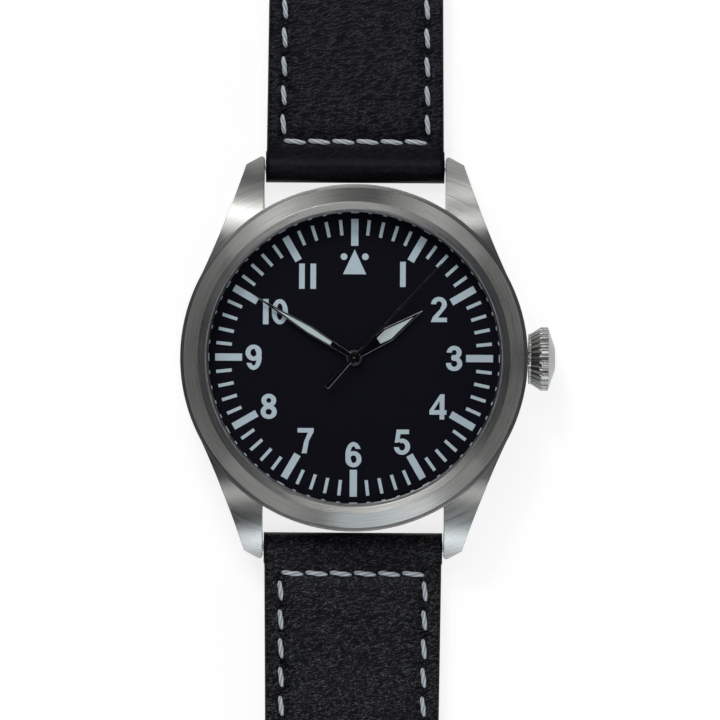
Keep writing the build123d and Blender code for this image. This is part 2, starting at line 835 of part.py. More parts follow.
with BuildPart() as movement_ring:
    disc(case_bore_r - running_gap, ring_low, dial_under, bore=movement_r)
    cross_bar(tube_r, movement_r - overrun, case_r, 0, stem_z, mode=Mode.SUBTRACT)
save(movement_ring, "movement_ring")

# Crown tube, crown, crown gasket and stem
with BuildPart() as crown_tube:
    cross_bar(tube_r, case_bore_r, tube_end_x, 0, stem_z, bore=tube_r - tube_wall)
save(crown_tube, "crown_tube")

crown_rim_end_x = crown_rim_x + crown_rim_length
crown_cavity_r = tube_r + crown_cavity_gap
with BuildPart() as crown:
    stem_turned((crown_start_x, 0), (crown_start_x, crown_neck_r),
                (crown_start_x + crown_neck_length, crown_neck_r), (crown_rim_x, crown_rim_r),
                (crown_rim_end_x, crown_rim_r), (crown_end_x, crown_end_r), (crown_end_x, 0))
    stem_turned((crown_start_x - overrun, 0), (crown_start_x - overrun, crown_cavity_r),
                (crown_cavity_end_x, crown_cavity_r), (crown_cavity_end_x, 0), mode=Mode.SUBTRACT)
    cross_bar(stem_r, crown_cavity_end_x, stem_end_x, 0, stem_z, mode=Mode.SUBTRACT)
    with BuildSketch(Plane.YZ.offset(crown_start_x + crown_neck_length)):
        with Locations((0, stem_z)):
            with PolarLocations(crown_rim_r + crown_flute_r * (1 - crown_flute_share), crown_flutes):
                Circle(crown_flute_r)
    extrude(amount=crown_rim_end_x - crown_start_x, mode=Mode.SUBTRACT)
save(crown, "crown")

with BuildPart() as crown_gasket:
    cross_bar(crown_cavity_r, tube_end_x - 2 * crown_gasket_width, tube_end_x - crown_gasket_width,
              0, stem_z, bore=tube_r + fit_gap)
save(crown_gasket, "crown_gasket")

with BuildPart() as winding_stem:
    cross_bar(stem_r, stem_shoulder_x, stem_end_x, 0, stem_z)
    cross_bar(stem_pivot_r, stem_pivot_end_x, stem_shoulder_x, 0, stem_z)
save(winding_stem, "winding_stem")

# Main plate: the disc that carries the train, with the recess for the motion work
barrel_centre = place(barrel_place)
third_centre = place(third_place)
escape_centre = place(escape_place)
balance_centre = place(balance_place)
pallet_centre = tuple(e + pallet_share * (b - e) for e, b in zip(escape_centre, balance_centre))
minute_wheel_centre = place((motion_distance, minute_wheel_angle))
cannon_module = 2 * motion_distance / (cannon_teeth + minute_teeth)
hour_module = 2 * motion_distance / (minute_pinion_teeth + hour_teeth)
minute_wheel_r = cannon_module * minute_teeth / 2
hour_wheel_r = hour_module * hour_teeth / 2
pocket_margin = 0.3
pocket_side = winding_r + pocket_margin
pocket_top = stem_z + winding_r + pocket_margin
upper_jewel_centres = (third_centre, escape_centre, pallet_centre, balance_centre)
all_feet = [(place(foot), foot_r) for foot in train_bridge_feet + barrel_bridge_feet]
all_feet.append((place(cock_foot_place), cock_foot_r))
screw_top = bridge_low + screw_length
stem_block_low = stem_z - stem_r - pocket_margin
pallet_to_balance = degrees(asin((balance_centre[1] - pallet_centre[1])
                                 / sqrt((balance_centre[0] - pallet_centre[0])**2
                                        + (balance_centre[1] - pallet_centre[1])**2)))
pallet_foot = (pallet_centre[0] + pallet_foot_distance * sin(radians(pallet_to_balance)),
               pallet_centre[1] + pallet_foot_distance * cos(radians(pallet_to_balance)))

with BuildPart() as main_plate:
    disc(movement_r, plate_low, dial_under)
    disc(hour_wheel_r + 2 * pocket_margin, dial_recess_floor, dial_under, mode=Mode.SUBTRACT)
    disc(minute_wheel_r + 2 * pocket_margin, dial_recess_floor, dial_under,
         centre=minute_wheel_centre, mode=Mode.SUBTRACT)
    disc(centre_tube_r + running_gap, plate_low, dial_under, mode=Mode.SUBTRACT)
    disc(barrel_arbor_r + running_gap, plate_low, dial_under, centre=barrel_centre,
         mode=Mode.SUBTRACT)
    for centre in upper_jewel_centres:
        disc(jewel_r, plate_low, plate_low + 2 * jewel_thickness, centre=centre, mode=Mode.SUBTRACT)
    for centre, radius in all_feet:
        disc(screw_r, plate_low, screw_top, centre=centre, mode=Mode.SUBTRACT)
    for angle in dial_foot_angles:
        disc(dial_foot_r + running_gap, dial_under - dial_foot_length - running_gap, dial_under,
             centre=place((dial_foot_ring_r, angle)), mode=Mode.SUBTRACT)
    block((stem_pivot_end_x, stem_shoulder_x - play), (-stem_r, stem_r), (stem_block_low, plate_low))
    block((winding_x + winding_length + play, movement_r - pocket_margin),
          (-pocket_side, pocket_side), (stem_block_low, plate_low))
    block((stem_shoulder_x - play, winding_x + winding_length + play), (-pocket_side, pocket_side),
          (plate_low, pocket_top), mode=Mode.SUBTRACT)
    cross_bar(stem_pivot_r + pinion_bore_gap, stem_pivot_end_x - overrun, stem_shoulder_x, 0, stem_z,
              mode=Mode.SUBTRACT)
    cross_bar(stem_r + pinion_bore_gap, stem_shoulder_x, movement_r + overrun, 0, stem_z,
              mode=Mode.SUBTRACT)
    disc(pivot_r * 2, dial_recess_floor, dial_under - play, centre=minute_wheel_centre)
save(main_plate, "main_plate")


# Bridges: plates on feet that stand on the main plate
def sector(low, high, start_angle, end_angle, radius, mode=Mode.ADD):
    """A sector of a disc about the dial's axis."""
    middle = (start_angle + end_angle) / 2
    with BuildSketch(Plane.XY.offset(low)) as face:
        with BuildLine():
            Line((0, 0), place((radius, start_angle)))
            ThreePointArc(place((radius, start_angle)), place((radius, middle)),
                          place((radius, end_angle)))
            Line(place((radius, end_angle)), (0, 0))
        make_face()
    extrude(face.sketch, amount=high - low, mode=mode)


def foot(centre, radius):
    """A bridge foot with the hole and the counterbore for its screw."""
    disc(radius, bridge_low, plate_low, centre=centre)
    disc(screw_r + play, bridge_low, plate_low, centre=centre, mode=Mode.SUBTRACT)
    disc(screw_head_r + play, bridge_low, bridge_low + screw_head_height, centre=centre,
         mode=Mode.SUBTRACT)


def jewel_seat(centre, low, high):
    """A hole for one jewel."""
    disc(jewel_r, low, high, centre=centre, mode=Mode.SUBTRACT)


bridge_core_r = 2.2
bridge_core_gap = 0.2
train_bridge_angles = (207, 335)
barrel_bridge_angles = (-22, 114)
with BuildPart() as train_bridge:
    sector(bridge_low, bridge_top, *train_bridge_angles, bridge_r)
    disc(bridge_core_r, bridge_low, bridge_top)
    disc(jewel_r * 2, bridge_low, bridge_top, centre=escape_centre)
    for polar in train_bridge_feet:
        foot(place(polar), foot_r)
    for centre in ((0, 0), third_centre, escape_centre):
        jewel_seat(centre, bridge_top - jewel_thickness, bridge_top)
    disc(rotor_shoulder_r, rotor_high + play / 2, bridge_low)
    disc(rotor_post_r, rotor_post_low, rotor_high + play / 2)
    disc(screw_r, rotor_post_low, rotor_post_low + rotor_screw_length, mode=Mode.SUBTRACT)
save(train_bridge, "train_bridge")

with BuildPart() as barrel_bridge:
    sector(bridge_low, bridge_top, *barrel_bridge_angles, bridge_r)
    disc(bridge_core_r + bridge_core_gap, bridge_low, bridge_top, mode=Mode.SUBTRACT)
    disc(contrate_outer_r + running_gap, bridge_low, bridge_top, centre=(crown_wheel_x, 0),
         mode=Mode.SUBTRACT)
    disc(barrel_arbor_r + running_gap, bridge_low, bridge_top, centre=barrel_centre,
         mode=Mode.SUBTRACT)
    for polar in barrel_bridge_feet:
        foot(place(polar), foot_r)
save(barrel_bridge, "barrel_bridge")

cock_foot = place(cock_foot_place)
cock_end_r = 1.2
with BuildPart() as balance_cock:
    with BuildSketch(Plane.XY.offset(bridge_low)):
        with Locations(cock_foot):
            Circle(cock_foot_r)
        with Locations(balance_centre):
            Circle(cock_end_r)
        make_hull()
    extrude(amount=bridge_thickness)
    foot(cock_foot, cock_foot_r)
    jewel_seat(balance_centre, bridge_top - jewel_thickness, bridge_top)
save(balance_cock, "balance_cock")

with BuildPart() as pallet_bridge:
    with BuildSketch(Plane.XY.offset(pallet_bridge_low)):
        with Locations(pallet_centre, pallet_foot):
            Circle(pallet_bridge_r)
        make_hull()
    extrude(amount=pallet_bridge_high - pallet_bridge_low)
    disc(pallet_bridge_r * pallet_foot_share, pallet_bridge_high, plate_low, centre=pallet_foot)
    disc(pivot_r + pinion_bore_gap, pallet_bridge_low, pallet_bridge_high, centre=pallet_centre,
         mode=Mode.SUBTRACT)
save(pallet_bridge, "pallet_bridge")

with BuildPart() as jewels:
    for centre in upper_jewel_centres:
        disc(jewel_r, plate_low, plate_low + jewel_thickness, centre=centre,
             bore=pivot_r + pinion_bore_gap)
    for centre in ((0, 0), third_centre, escape_centre, balance_centre):
        disc(jewel_r, bridge_top - jewel_thickness, bridge_top, centre=centre,
             bore=pivot_r + pinion_bore_gap)
save(jewels, "jewels")

with BuildPart() as movement_screws:
    for centre, radius in all_feet:
        disc(screw_head_r, bridge_low, bridge_low + screw_head_height, centre=centre)
        disc(screw_r, bridge_low + screw_head_height, screw_top, centre=centre)
        block((centre[0] - screw_head_r, centre[0] + screw_head_r),
              (centre[1] - screw_slot_width / 2, centre[1] + screw_slot_width / 2),
              (bridge_low, bridge_low + screw_slot_depth), mode=Mode.SUBTRACT)
    disc(rotor_screw_r, rotor_post_low - rotor_screw_head, rotor_post_low)
    disc(screw_r, rotor_post_low, rotor_post_low + rotor_screw_length)
    block((-rotor_screw_r, rotor_screw_r), (-screw_slot_width / 2, screw_slot_width / 2),
          (rotor_post_low - rotor_screw_head, rotor_post_low - rotor_screw_head + screw_slot_depth / 2),
          mode=Mode.SUBTRACT)
save(movement_screws, "movement_screws")

# Barrel with its spring and arbor, and the wheels that wind it
barrel_module = 2 * barrel_place[0] / (barrel_teeth + centre_pinion_teeth)
drum_r = barrel_module * (barrel_teeth / 2 - dedendum_share) - play
drum_teeth_low = drum_high - drum_teeth_height
centre_phase = 0
barrel_phase = meshing_phase(barrel_place[1] + 180, barrel_teeth, centre_pinion_teeth, centre_phase)
with BuildPart() as barrel:
    disc(drum_r, drum_low, drum_high, centre=barrel_centre)
    toothed(barrel_teeth, barrel_module, drum_teeth_low, drum_high, barrel_centre, barrel_phase)
    disc(drum_r - drum_wall, drum_low - overrun, drum_high - drum_floor, centre=barrel_centre,
         mode=Mode.SUBTRACT)
    disc(barrel_arbor_r + running_gap, drum_low, drum_high, centre=barrel_centre,
         mode=Mode.SUBTRACT)
save(barrel, "barrel")

with BuildPart() as mainspring:
    spiral(mainspring_inner_r, mainspring_outer_r, mainspring_turns, mainspring_strip,
           drum_low + drum_floor, drum_high - 2 * drum_floor, barrel_centre)
save(mainspring, "mainspring")

with BuildPart() as barrel_arbor:
    disc(barrel_arbor_r, click_wheel_low, dial_under - play, centre=barrel_centre)
save(barrel_arbor, "barrel_arbor")

crown_wheel_centre = (crown_wheel_x, 0)
wheel_gap = (crown_wheel_centre[0] - barrel_centre[0], crown_wheel_centre[1] - barrel_centre[1])
wheel_distance = sqrt(wheel_gap[0]**2 + wheel_gap[1]**2)
wheel_angle = degrees(asin(wheel_gap[1] / wheel_distance))
click_module = 2 * wheel_distance / (ratchet_teeth + crown_wheel_teeth)
ratchet_phase = meshing_phase(wheel_angle, ratchet_teeth, crown_wheel_teeth, 0)
with BuildPart() as ratchet_wheel:
    toothed(ratchet_teeth, click_module, click_wheel_low, click_wheel_high, barrel_centre,
            ratchet_phase, bore=barrel_arbor_r)
save(ratchet_wheel, "ratchet_wheel")

with BuildPart() as crown_wheel:
    toothed(crown_wheel_teeth, click_module, click_wheel_low, click_wheel_high, crown_wheel_centre)
    disc(contrate_outer_r, click_wheel_high, contrate_high - contrate_tooth,
         centre=crown_wheel_centre)
    with BuildSketch(Plane.XY.offset(contrate_high - contrate_tooth)):
        with Locations(crown_wheel_centre):
            with PolarLocations((contrate_inner_r + contrate_outer_r) / 2, contrate_teeth):
                Rectangle(contrate_outer_r - contrate_inner_r, 2 * contrate_tooth)
            Circle(contrate_outer_r, mode=Mode.INTERSECT)
    extrude(amount=contrate_tooth)
save(crown_wheel, "crown_wheel")

# Winding pinion and sliding pinion, which ride on the stem and meet at saw-like clutch teeth
winding_end_x = winding_x + winding_length
clutch_teeth = 6
clutch_depth = 0.15


def stem_pinion(teeth, radius, start_x, end_x, bore, phase):
    """A toothed drum about the stem's axis."""
    module = 2 * radius / teeth
    outline = tooth_points(teeth, module * stem_module_share, phase,
                           module * stem_tooth_share, module * stem_tooth_share)
    with BuildSketch(Plane.YZ.offset(start_x)) as face:
        with BuildLine():
            Polyline(*[(y, z + stem_z) for y, z in outline], close=True)
        make_face()
        with Locations((0, stem_z)):
            Circle(bore, mode=Mode.SUBTRACT)
    extrude(face.sketch, amount=end_x - start_x)


with BuildPart() as winding_pinion:
    stem_pinion(winding_teeth, winding_r, winding_x + clutch_depth, winding_end_x,
                stem_r + fit_gap, stem_mesh_angle + 180 / winding_teeth)
save(winding_pinion, "winding_pinion")

with BuildPart() as sliding_pinion:
    stem_pinion(winding_teeth, sliding_r, sliding_x + 2 * clutch_depth, sliding_x + sliding_length,
                stem_r + fit_gap, stem_mesh_angle)
    cross_bar(sliding_r * sleeve_share, sliding_x + sliding_length, winding_x + clutch_depth - fit_gap,
              0, stem_z, bore=stem_r + fit_gap)
save(sliding_pinion, "sliding_pinion")


# Going train: each wheel sits on its own arbor between two jewels
def arbor(centre, low, high):
    """An arbor with a thin pivot at each end, which runs in the jewels."""
    disc(arbor_r, low, high, centre=centre)


def pivots(centre, low, high):
    """The thin ends of an arbor."""
    disc(pivot_r, low, high, centre=centre)


going_low = bridge_top + fit_gap
going_high = plate_low - fit_gap
pivot_low = bridge_top - jewel_thickness
pivot_high = plate_low + jewel_thickness
centre_module = 2 * third_place[0] / (centre_teeth + third_pinion_teeth)
third_module = 2 * third_place[0] / (third_teeth + fourth_pinion_teeth)
fourth_module = 2 * escape_place[0] / (fourth_teeth + escape_pinion_teeth)
third_phase = meshing_phase(third_place[1] + 180, third_pinion_teeth, centre_teeth, 0)
third_wheel_phase = meshing_phase(third_place[1] + 180, third_teeth, fourth_pinion_teeth, 0)
escape_phase = meshing_phase(escape_place[1] + 180, escape_pinion_teeth, fourth_teeth, 0)
spoke_width = 0.4
rim_width = 0.5
wheel_hub_r = 0.8
train_spokes = 5
escape_spokes = 4

with BuildPart() as center_wheel:
    toothed(centre_teeth, centre_module, centre_wheel_low, centre_wheel_high)
    spokes(train_spokes, wheel_hub_r, centre_module * centre_teeth / 2 - rim_width, spoke_width,
           centre_wheel_low, centre_wheel_high, (0, 0))
    toothed(centre_pinion_teeth, barrel_module, centre_pinion_low, centre_pinion_high,
            phase=centre_phase)
    disc(centre_tube_r, centre_pinion_low, minute_hand_low - hand_thickness)
    disc(centre_tube_bore_r, centre_pinion_low - overrun, minute_hand_low, mode=Mode.SUBTRACT)
save(center_wheel, "center_wheel")

with BuildPart() as third_wheel:
    toothed(third_teeth, third_module, third_wheel_low, third_wheel_high, third_centre,
            third_wheel_phase)
    spokes(train_spokes, wheel_hub_r, third_module * third_teeth / 2 - rim_width, spoke_width,
           third_wheel_low, third_wheel_high, third_centre)
    toothed(third_pinion_teeth, centre_module, third_pinion_low, third_pinion_high, third_centre,
            third_phase)
    arbor(third_centre, going_low, going_high)
    pivots(third_centre, pivot_low, pivot_high)
save(third_wheel, "third_wheel")

with BuildPart() as fourth_wheel:
    toothed(fourth_teeth, fourth_module, fourth_wheel_low, fourth_wheel_high)
    spokes(train_spokes, wheel_hub_r, fourth_module * fourth_teeth / 2 - rim_width, spoke_width,
           fourth_wheel_low, fourth_wheel_high, (0, 0))
    toothed(fourth_pinion_teeth, third_module, fourth_pinion_low, fourth_pinion_high)
    disc(arbor_r, going_low, fourth_pinion_high)
    disc(pivot_r, pivot_low, going_low)
    disc(seconds_arbor_r, fourth_pinion_high, seconds_hand_low + hand_thickness)
save(fourth_wheel, "fourth_wheel")

escape_pitch = 360 / escape_teeth
escape_root_r = escape_wheel_r * escape_root_share
escape_hook_turn = escape_pitch * escape_hook_share
escape_points = []
for tooth in range(escape_teeth):
    angle = tooth * escape_pitch
    escape_points.append(place((escape_root_r, angle)))
    escape_points.append(place((escape_wheel_r, angle + escape_hook_turn)))
    escape_points.append(place((escape_wheel_r, angle + escape_hook_turn * escape_tip_share)))
    escape_points.append(place((escape_root_r, angle + escape_hook_turn)))

with BuildPart() as escape_wheel:
    with BuildSketch(Plane.XY.offset(escape_wheel_low)):
        with Locations(escape_centre):
            with BuildLine():
                Polyline(*[(x + escape_centre[0], y + escape_centre[1]) for x, y in escape_points],
                         close=True)
            make_face()
    extrude(amount=escape_wheel_high - escape_wheel_low)
    spokes(escape_spokes, wheel_hub_r / 2, escape_root_r - spoke_width, spoke_width / 2, escape_wheel_low,
           escape_wheel_high, escape_centre)
    toothed(escape_pinion_teeth, fourth_module, escape_pinion_low, escape_pinion_high,
            escape_centre, escape_phase)
    arbor(escape_centre, going_low, going_high)
    pivots(escape_centre, pivot_low, pivot_high)
save(escape_wheel, "escape_wheel")

# Pallet fork: a lever with a slot at the balance end and two arms at the escape wheel
fork_gap = (balance_centre[0] - pallet_centre[0], balance_centre[1] - pallet_centre[1])
fork_distance = sqrt(fork_gap[0]**2 + fork_gap[1]**2)
fork_turn = degrees(acos(fork_gap[0] / fork_distance))
fork_width = 0.3
fork_horn_width = 0.55
fork_slot_width = 2 * (impulse_pin_r + pinion_bore_gap)
fork_reach = fork_distance - impulse_ring_r + 3 * impulse_pin_r
fork_slot_start = fork_distance - impulse_ring_r - 2 * impulse_pin_r
pallet_arm_reach = 1.1
pallet_arm_width = 0.3
pallet_stone_length = 0.35
with BuildPart() as pallet_fork:
    with BuildSketch(Plane((*pallet_centre, escape_wheel_low)).rotated((0, 0, fork_turn))):
        Rectangle(fork_reach - fork_horn_width / 2, fork_width, align=(Align.MIN, Align.CENTER))
        with Locations((fork_reach, 0)):
            Rectangle(fork_horn_width, fork_horn_width, align=(Align.MAX, Align.CENTER))
        with Locations(((fork_slot_start + fork_reach + overrun) / 2, 0)):
            Rectangle(fork_reach + overrun - fork_slot_start, fork_slot_width, mode=Mode.SUBTRACT)
        Rectangle(pallet_arm_width, 2 * pallet_arm_reach)
        for side in (1, -1):
            with Locations((0, side * (pallet_arm_reach - pallet_arm_width / 2))):
                Rectangle(pallet_stone_length, pallet_arm_width, align=(Align.MAX, Align.CENTER))
        Circle(pallet_arm_width)
    extrude(amount=escape_wheel_high - escape_wheel_low)
    disc(arbor_r, pallet_bridge_high + fit_gap, going_high, centre=pallet_centre)
    disc(pivot_r, pallet_bridge_low, pivot_high, centre=pallet_centre)
save(pallet_fork, "pallet_fork")

impulse_pin = (balance_centre[0] - impulse_ring_r * cos(radians(fork_turn)),
               balance_centre[1] - impulse_ring_r * sin(radians(fork_turn)))
with BuildPart() as balance_wheel:
    disc(balance_r, balance_low, balance_high, centre=balance_centre,
         bore=balance_r - balance_rim_width)
    with BuildSketch(Plane.XY.offset(balance_low)):
        with Locations(balance_centre):
            Circle(hairspring_inner_r)
            with PolarLocations(0, balance_arms):
                Rectangle(balance_r - balance_rim_width / 2, balance_arm_width,
                          align=(Align.MIN, Align.CENTER))
    extrude(amount=balance_high - balance_low)
    arbor(balance_centre, going_low, going_high)
    pivots(balance_centre, pivot_low, pivot_high)
    disc(roller_r, roller_low, roller_high, centre=balance_centre)
    disc(impulse_pin_r, escape_wheel_low - fit_gap, roller_low, centre=impulse_pin)
save(balance_wheel, "balance_wheel")

with BuildPart() as hairspring:
    spiral(hairspring_inner_r, hairspring_outer_r, hairspring_turns, hairspring_strip,
           hairspring_low, hairspring_high, balance_centre)
save(hairspring, "hairspring")

# Rotor: a half disc on the post of the train bridge, with a heavy rim
with BuildPart() as rotor:
    disc(rotor_r, rotor_low, rotor_high)
    disc(rotor_r, rotor_rim_low, rotor_low, bore=rotor_r - rotor_rim_width)
    block((-rotor_r - overrun, rotor_r + overrun), (0, rotor_r + overrun),
          (rotor_rim_low - overrun, rotor_high + overrun), mode=Mode.SUBTRACT)
    disc(rotor_hub_r, rotor_low, rotor_high)
    disc(rotor_post_r + pinion_bore_gap, rotor_rim_low - overrun, rotor_high, mode=Mode.SUBTRACT)
    with BuildSketch(Plane.XY.offset(rotor_low)):
        with PolarLocations(rotor_window_r, rotor_windows, start_angle=rotor_window_start,
                            angular_range=rotor_window_span):
            SlotOverall(rotor_window_width, rotor_window_width / 2, rotation=90)
    extrude(amount=rotor_high - rotor_low, mode=Mode.SUBTRACT)
save(rotor, "rotor")

# Motion work under the dial: cannon pinion, minute wheel and hour wheel
cannon_low = dial_recess_floor + fit_gap
cannon_teeth_high = 6.55
minute_wheel_low = 6.25
minute_wheel_high = 6.45
minute_pinion_high = 6.85
hour_wheel_low = 6.65
hour_wheel_high = 6.85
minute_phase = meshing_phase(minute_wheel_angle + 180, minute_teeth, cannon_teeth, 0)
hour_phase = meshing_phase(minute_wheel_angle, hour_teeth, minute_pinion_teeth, 0)

with BuildPart() as cannon_pinion:
    toothed(cannon_teeth, cannon_module, cannon_low, cannon_teeth_high)
    disc(cannon_tube_r, cannon_low, minute_hand_low + hand_thickness)
    disc(centre_tube_r + fit_gap, cannon_low - overrun, minute_hand_low + overrun,
         mode=Mode.SUBTRACT)
save(cannon_pinion, "cannon_pinion")

with BuildPart() as minute_wheel:
    toothed(minute_teeth, cannon_module, minute_wheel_low, minute_wheel_high, minute_wheel_centre,
            minute_phase)
    toothed(minute_pinion_teeth, hour_module, minute_wheel_high, minute_pinion_high,
            minute_wheel_centre)
    disc(2 * pivot_r + pinion_bore_gap, minute_wheel_low, minute_pinion_high,
         centre=minute_wheel_centre, mode=Mode.SUBTRACT)
save(minute_wheel, "minute_wheel")

with BuildPart() as hour_wheel:
    toothed(hour_teeth, hour_module, hour_wheel_low, hour_wheel_high, phase=hour_phase)
    disc(hour_tube_r, hour_wheel_low, hour_hand_low + hand_thickness)
    disc(cannon_tube_r + pinion_bore_gap, hour_wheel_low - overrun, hour_hand_low + overrun,
         mode=Mode.SUBTRACT)
save(hour_wheel, "hour_wheel")

# Spring bars: a tube at each end of the case, with a sprung tip at each end of the tube
with BuildPart() as spring_bars:
    for side in (1, -1):
        cross_bar(bar_r, -bar_half_length, bar_half_length, side * bar_y, bar_z, bore=bar_bore_r)
save(spring_bars, "spring_bars")


def bar_tip(name, x_side, y_side):
    """One sprung tip: a shank in the tube, a shoulder, and a nose in the lug's hole."""
    with BuildPart() as tip:
        for radius, start_x, end_x in ((tip_shank_r, tip_shank_start_x, tip_shoulder_x),
                                       (bar_r, tip_shoulder_x, tip_shoulder_end_x),
                                       (tip_nose_r, tip_shoulder_end_x, tip_nose_end_x)):
            low_x, high_x = sorted((x_side * start_x, x_side * end_x))
            cross_bar(radius, low_x, high_x, y_side * bar_y, bar_z)
    save(tip, name)


bar_tip("bar_tip_12_right", 1, 1)
bar_tip("bar_tip_12_left", -1, 1)
bar_tip("bar_tip_6_right", 1, -1)
bar_tip("bar_tip_6_left", -1, -1)


# Straps. Each half is drawn towards 12 o'clock; the 6 o'clock half is then mirrored.
bar_top = bar_z + strap_end_r
padding_top = bar_top + padding_rise
buckle_z = strap_low + buckle_rise + buckle_end_r
tunnel_fold_y = buckle_y - tongue_slot_length
strap_6_top = strap_low + strap_thin


def top_12(y):
    """The height of the buckle half's top face."""
    if y <= padding_y:
        return bar_top + padding_rise * (y - bar_y) / (padding_y - bar_y)
    end_top = buckle_z + buckle_end_r
    return padding_top + (end_top - padding_top) * (y - padding_y) / (buckle_y - padding_y)


def top_6(y):
    """The height of the hole half's top face."""
    if y <= padding_y:
        return bar_top + padding_rise * (y - bar_y) / (padding_y - bar_y)
    if y >= strap_hole_start_y:
        return strap_6_top
    fall = (y - padding_y) / (strap_hole_start_y - padding_y)
    return padding_top + (strap_6_top - padding_top) * fall


def cut_plan(end_y, end_width):
    """Keep only what lies inside the strap's plan: two widths near the case, then a taper."""
    neck = bar_y + strap_end_r
    right = ((strap_width / 2, bar_y - strap_end_r - overrun), (strap_width / 2, neck - play),
             (strap_outer_width / 2, neck + play), (end_width / 2, end_y))
    left = tuple((-x, y) for x, y in reversed(right))
    with BuildSketch(Plane.XY.offset(-overrun)) as face:
        with BuildLine():
            Polyline(*right, *left, close=True)
        make_face()
    extrude(face.sketch, amount=case_top, mode=Mode.INTERSECT)


def cut_tip(body_end):
    """Keep only what lies inside the rounded tip of the hole half."""
    half = strap_tip_width / 2
    with BuildSketch(Plane.XY.offset(-overrun)) as face:
        with BuildLine():
            Polyline((half, body_end), (strap_width, body_end), (strap_width, 0),
                     (-strap_width, 0), (-strap_width, body_end), (-half, body_end))
            ThreePointArc((-half, body_end), (0, body_end + strap_tip_point), (half, body_end))
        make_face()
    extrude(face.sketch, amount=case_top, mode=Mode.INTERSECT)


def fold_round_bar(upper_edge):
    """The upper's section, wrapped round the spring bar, with its top and far end as given."""
    under = strap_low + lining_thickness
    with BuildSketch(Plane.YZ) as face:
        with BuildLine():
            Line((fold_tail_y, under), (fold_tail_y, strap_low))
            Line((fold_tail_y, strap_low), (bar_y, strap_low))
            ThreePointArc((bar_y, strap_low), (bar_y - strap_end_r, bar_z), (bar_y, bar_top))
            Polyline((bar_y, bar_top), *upper_edge, (fold_tail_y, under))
        make_face()
        with Locations((bar_y, bar_z)):
            Circle(strap_tunnel_r, mode=Mode.SUBTRACT)
    extrude(face.sketch, amount=strap_width, both=True)


def stitch_spans(sides):
    """Centres and sizes in plan of every stitch: the cross row, then both sides."""
    spans = []
    for number in range(cross_stitches):
        x = (number - (cross_stitches - 1) / 2) * cross_pitch
        spans.append((x, stitch_start_y, cross_length, stitch_width))
    for number in range(sides):
        y = side_start_y + number * stitch_pitch
        share = (y - bar_y) / (buckle_y - bar_y)
        half = (strap_outer_width - share * (strap_outer_width - strap_buckle_width)) / 2
        for side in (1, -1):
            spans.append((side * (half - stitch_inset), y, stitch_width, stitch_length))
    return spans


def stitch_floor(top, y, reach):
    """The floor of one stitch's pocket: below the lowest of the leather's top over its reach."""
    return min(top(y - reach / 2), top(y + reach / 2)) + stitch_proud - stitch_height


def cut_stitch_pockets(sides, top):
    """Cut the pocket of every stitch into the upper's top face."""
    for x, y, width, length in stitch_spans(sides):
        floor = stitch_floor(top, y, length)
        block((x - width / 2 - fit_gap, x + width / 2 + fit_gap),
              (y - length / 2 - fit_gap, y + length / 2 + fit_gap),
              (floor, floor + overrun), mode=Mode.SUBTRACT)


def stitch_solids(sides, top):
    """The stitches themselves, each a short length of thread in its pocket."""
    for x, y, width, length in stitch_spans(sides):
        floor = stitch_floor(top, y, length)
        block((x - width / 2, x + width / 2), (y - length / 2, y + length / 2),
              (floor, floor + stitch_height))


def round_long_edges(piece, under):
    """Bevel the two long top edges of an upper, which lie well above its under face."""
    edges = [edge for edge in piece.edges()
             if edge.center().Z > under + strap_edge_round / 2
             and edge.center().Y > bar_y + strap_end_r + 2 * play
             and edge.length > 2 * strap_end_r
             and abs(edge.center().X) > strap_tip_width * edge_side_share]
    chamfer(edges, strap_edge_round)


under_12 = strap_low + lining_thickness
keeper_channel_low = under_12 + buckle_rise
channel_gap = 0.03
with BuildPart() as strap_12_upper:
    fold_round_bar(((padding_y, padding_top), (buckle_y, buckle_z + buckle_end_r),
                    (buckle_y + buckle_end_r, buckle_z + buckle_end_r),
                    (buckle_y + buckle_end_r, keeper_channel_low),
                    (rise_end_y, keeper_channel_low), (padding_y, under_12)))
    cut_plan(buckle_y + buckle_end_r, strap_buckle_width)
    round_long_edges(strap_12_upper, keeper_channel_low)
    with BuildSketch(Plane.YZ.offset(-strap_width)):
        with Locations((buckle_y, buckle_z)):
            Circle(buckle_end_r)
        with Locations((buckle_y, buckle_z)):
            Rectangle(buckle_y, case_top, align=(Align.MAX, Align.CENTER))
    extrude(amount=2 * strap_width, mode=Mode.INTERSECT)
    cross_bar(buckle_tunnel_r, -strap_width, strap_width, buckle_y, buckle_z, mode=Mode.SUBTRACT)
    block((-tongue_slot_width / 2, tongue_slot_width / 2), (tunnel_fold_y, buckle_y + overrun),
          (0, case_top), mode=Mode.SUBTRACT)
    block((-strap_width, strap_width),
          (fixed_keeper_y - keeper_length / 2 - channel_gap,
           fixed_keeper_y + keeper_length / 2 + channel_gap),
          (keeper_channel_low, keeper_channel_low + keeper_thickness + channel_gap),
          mode=Mode.SUBTRACT)
    cut_stitch_pockets(side_stitches_12, top_12)
save(strap_12_upper, "strap_12_upper")

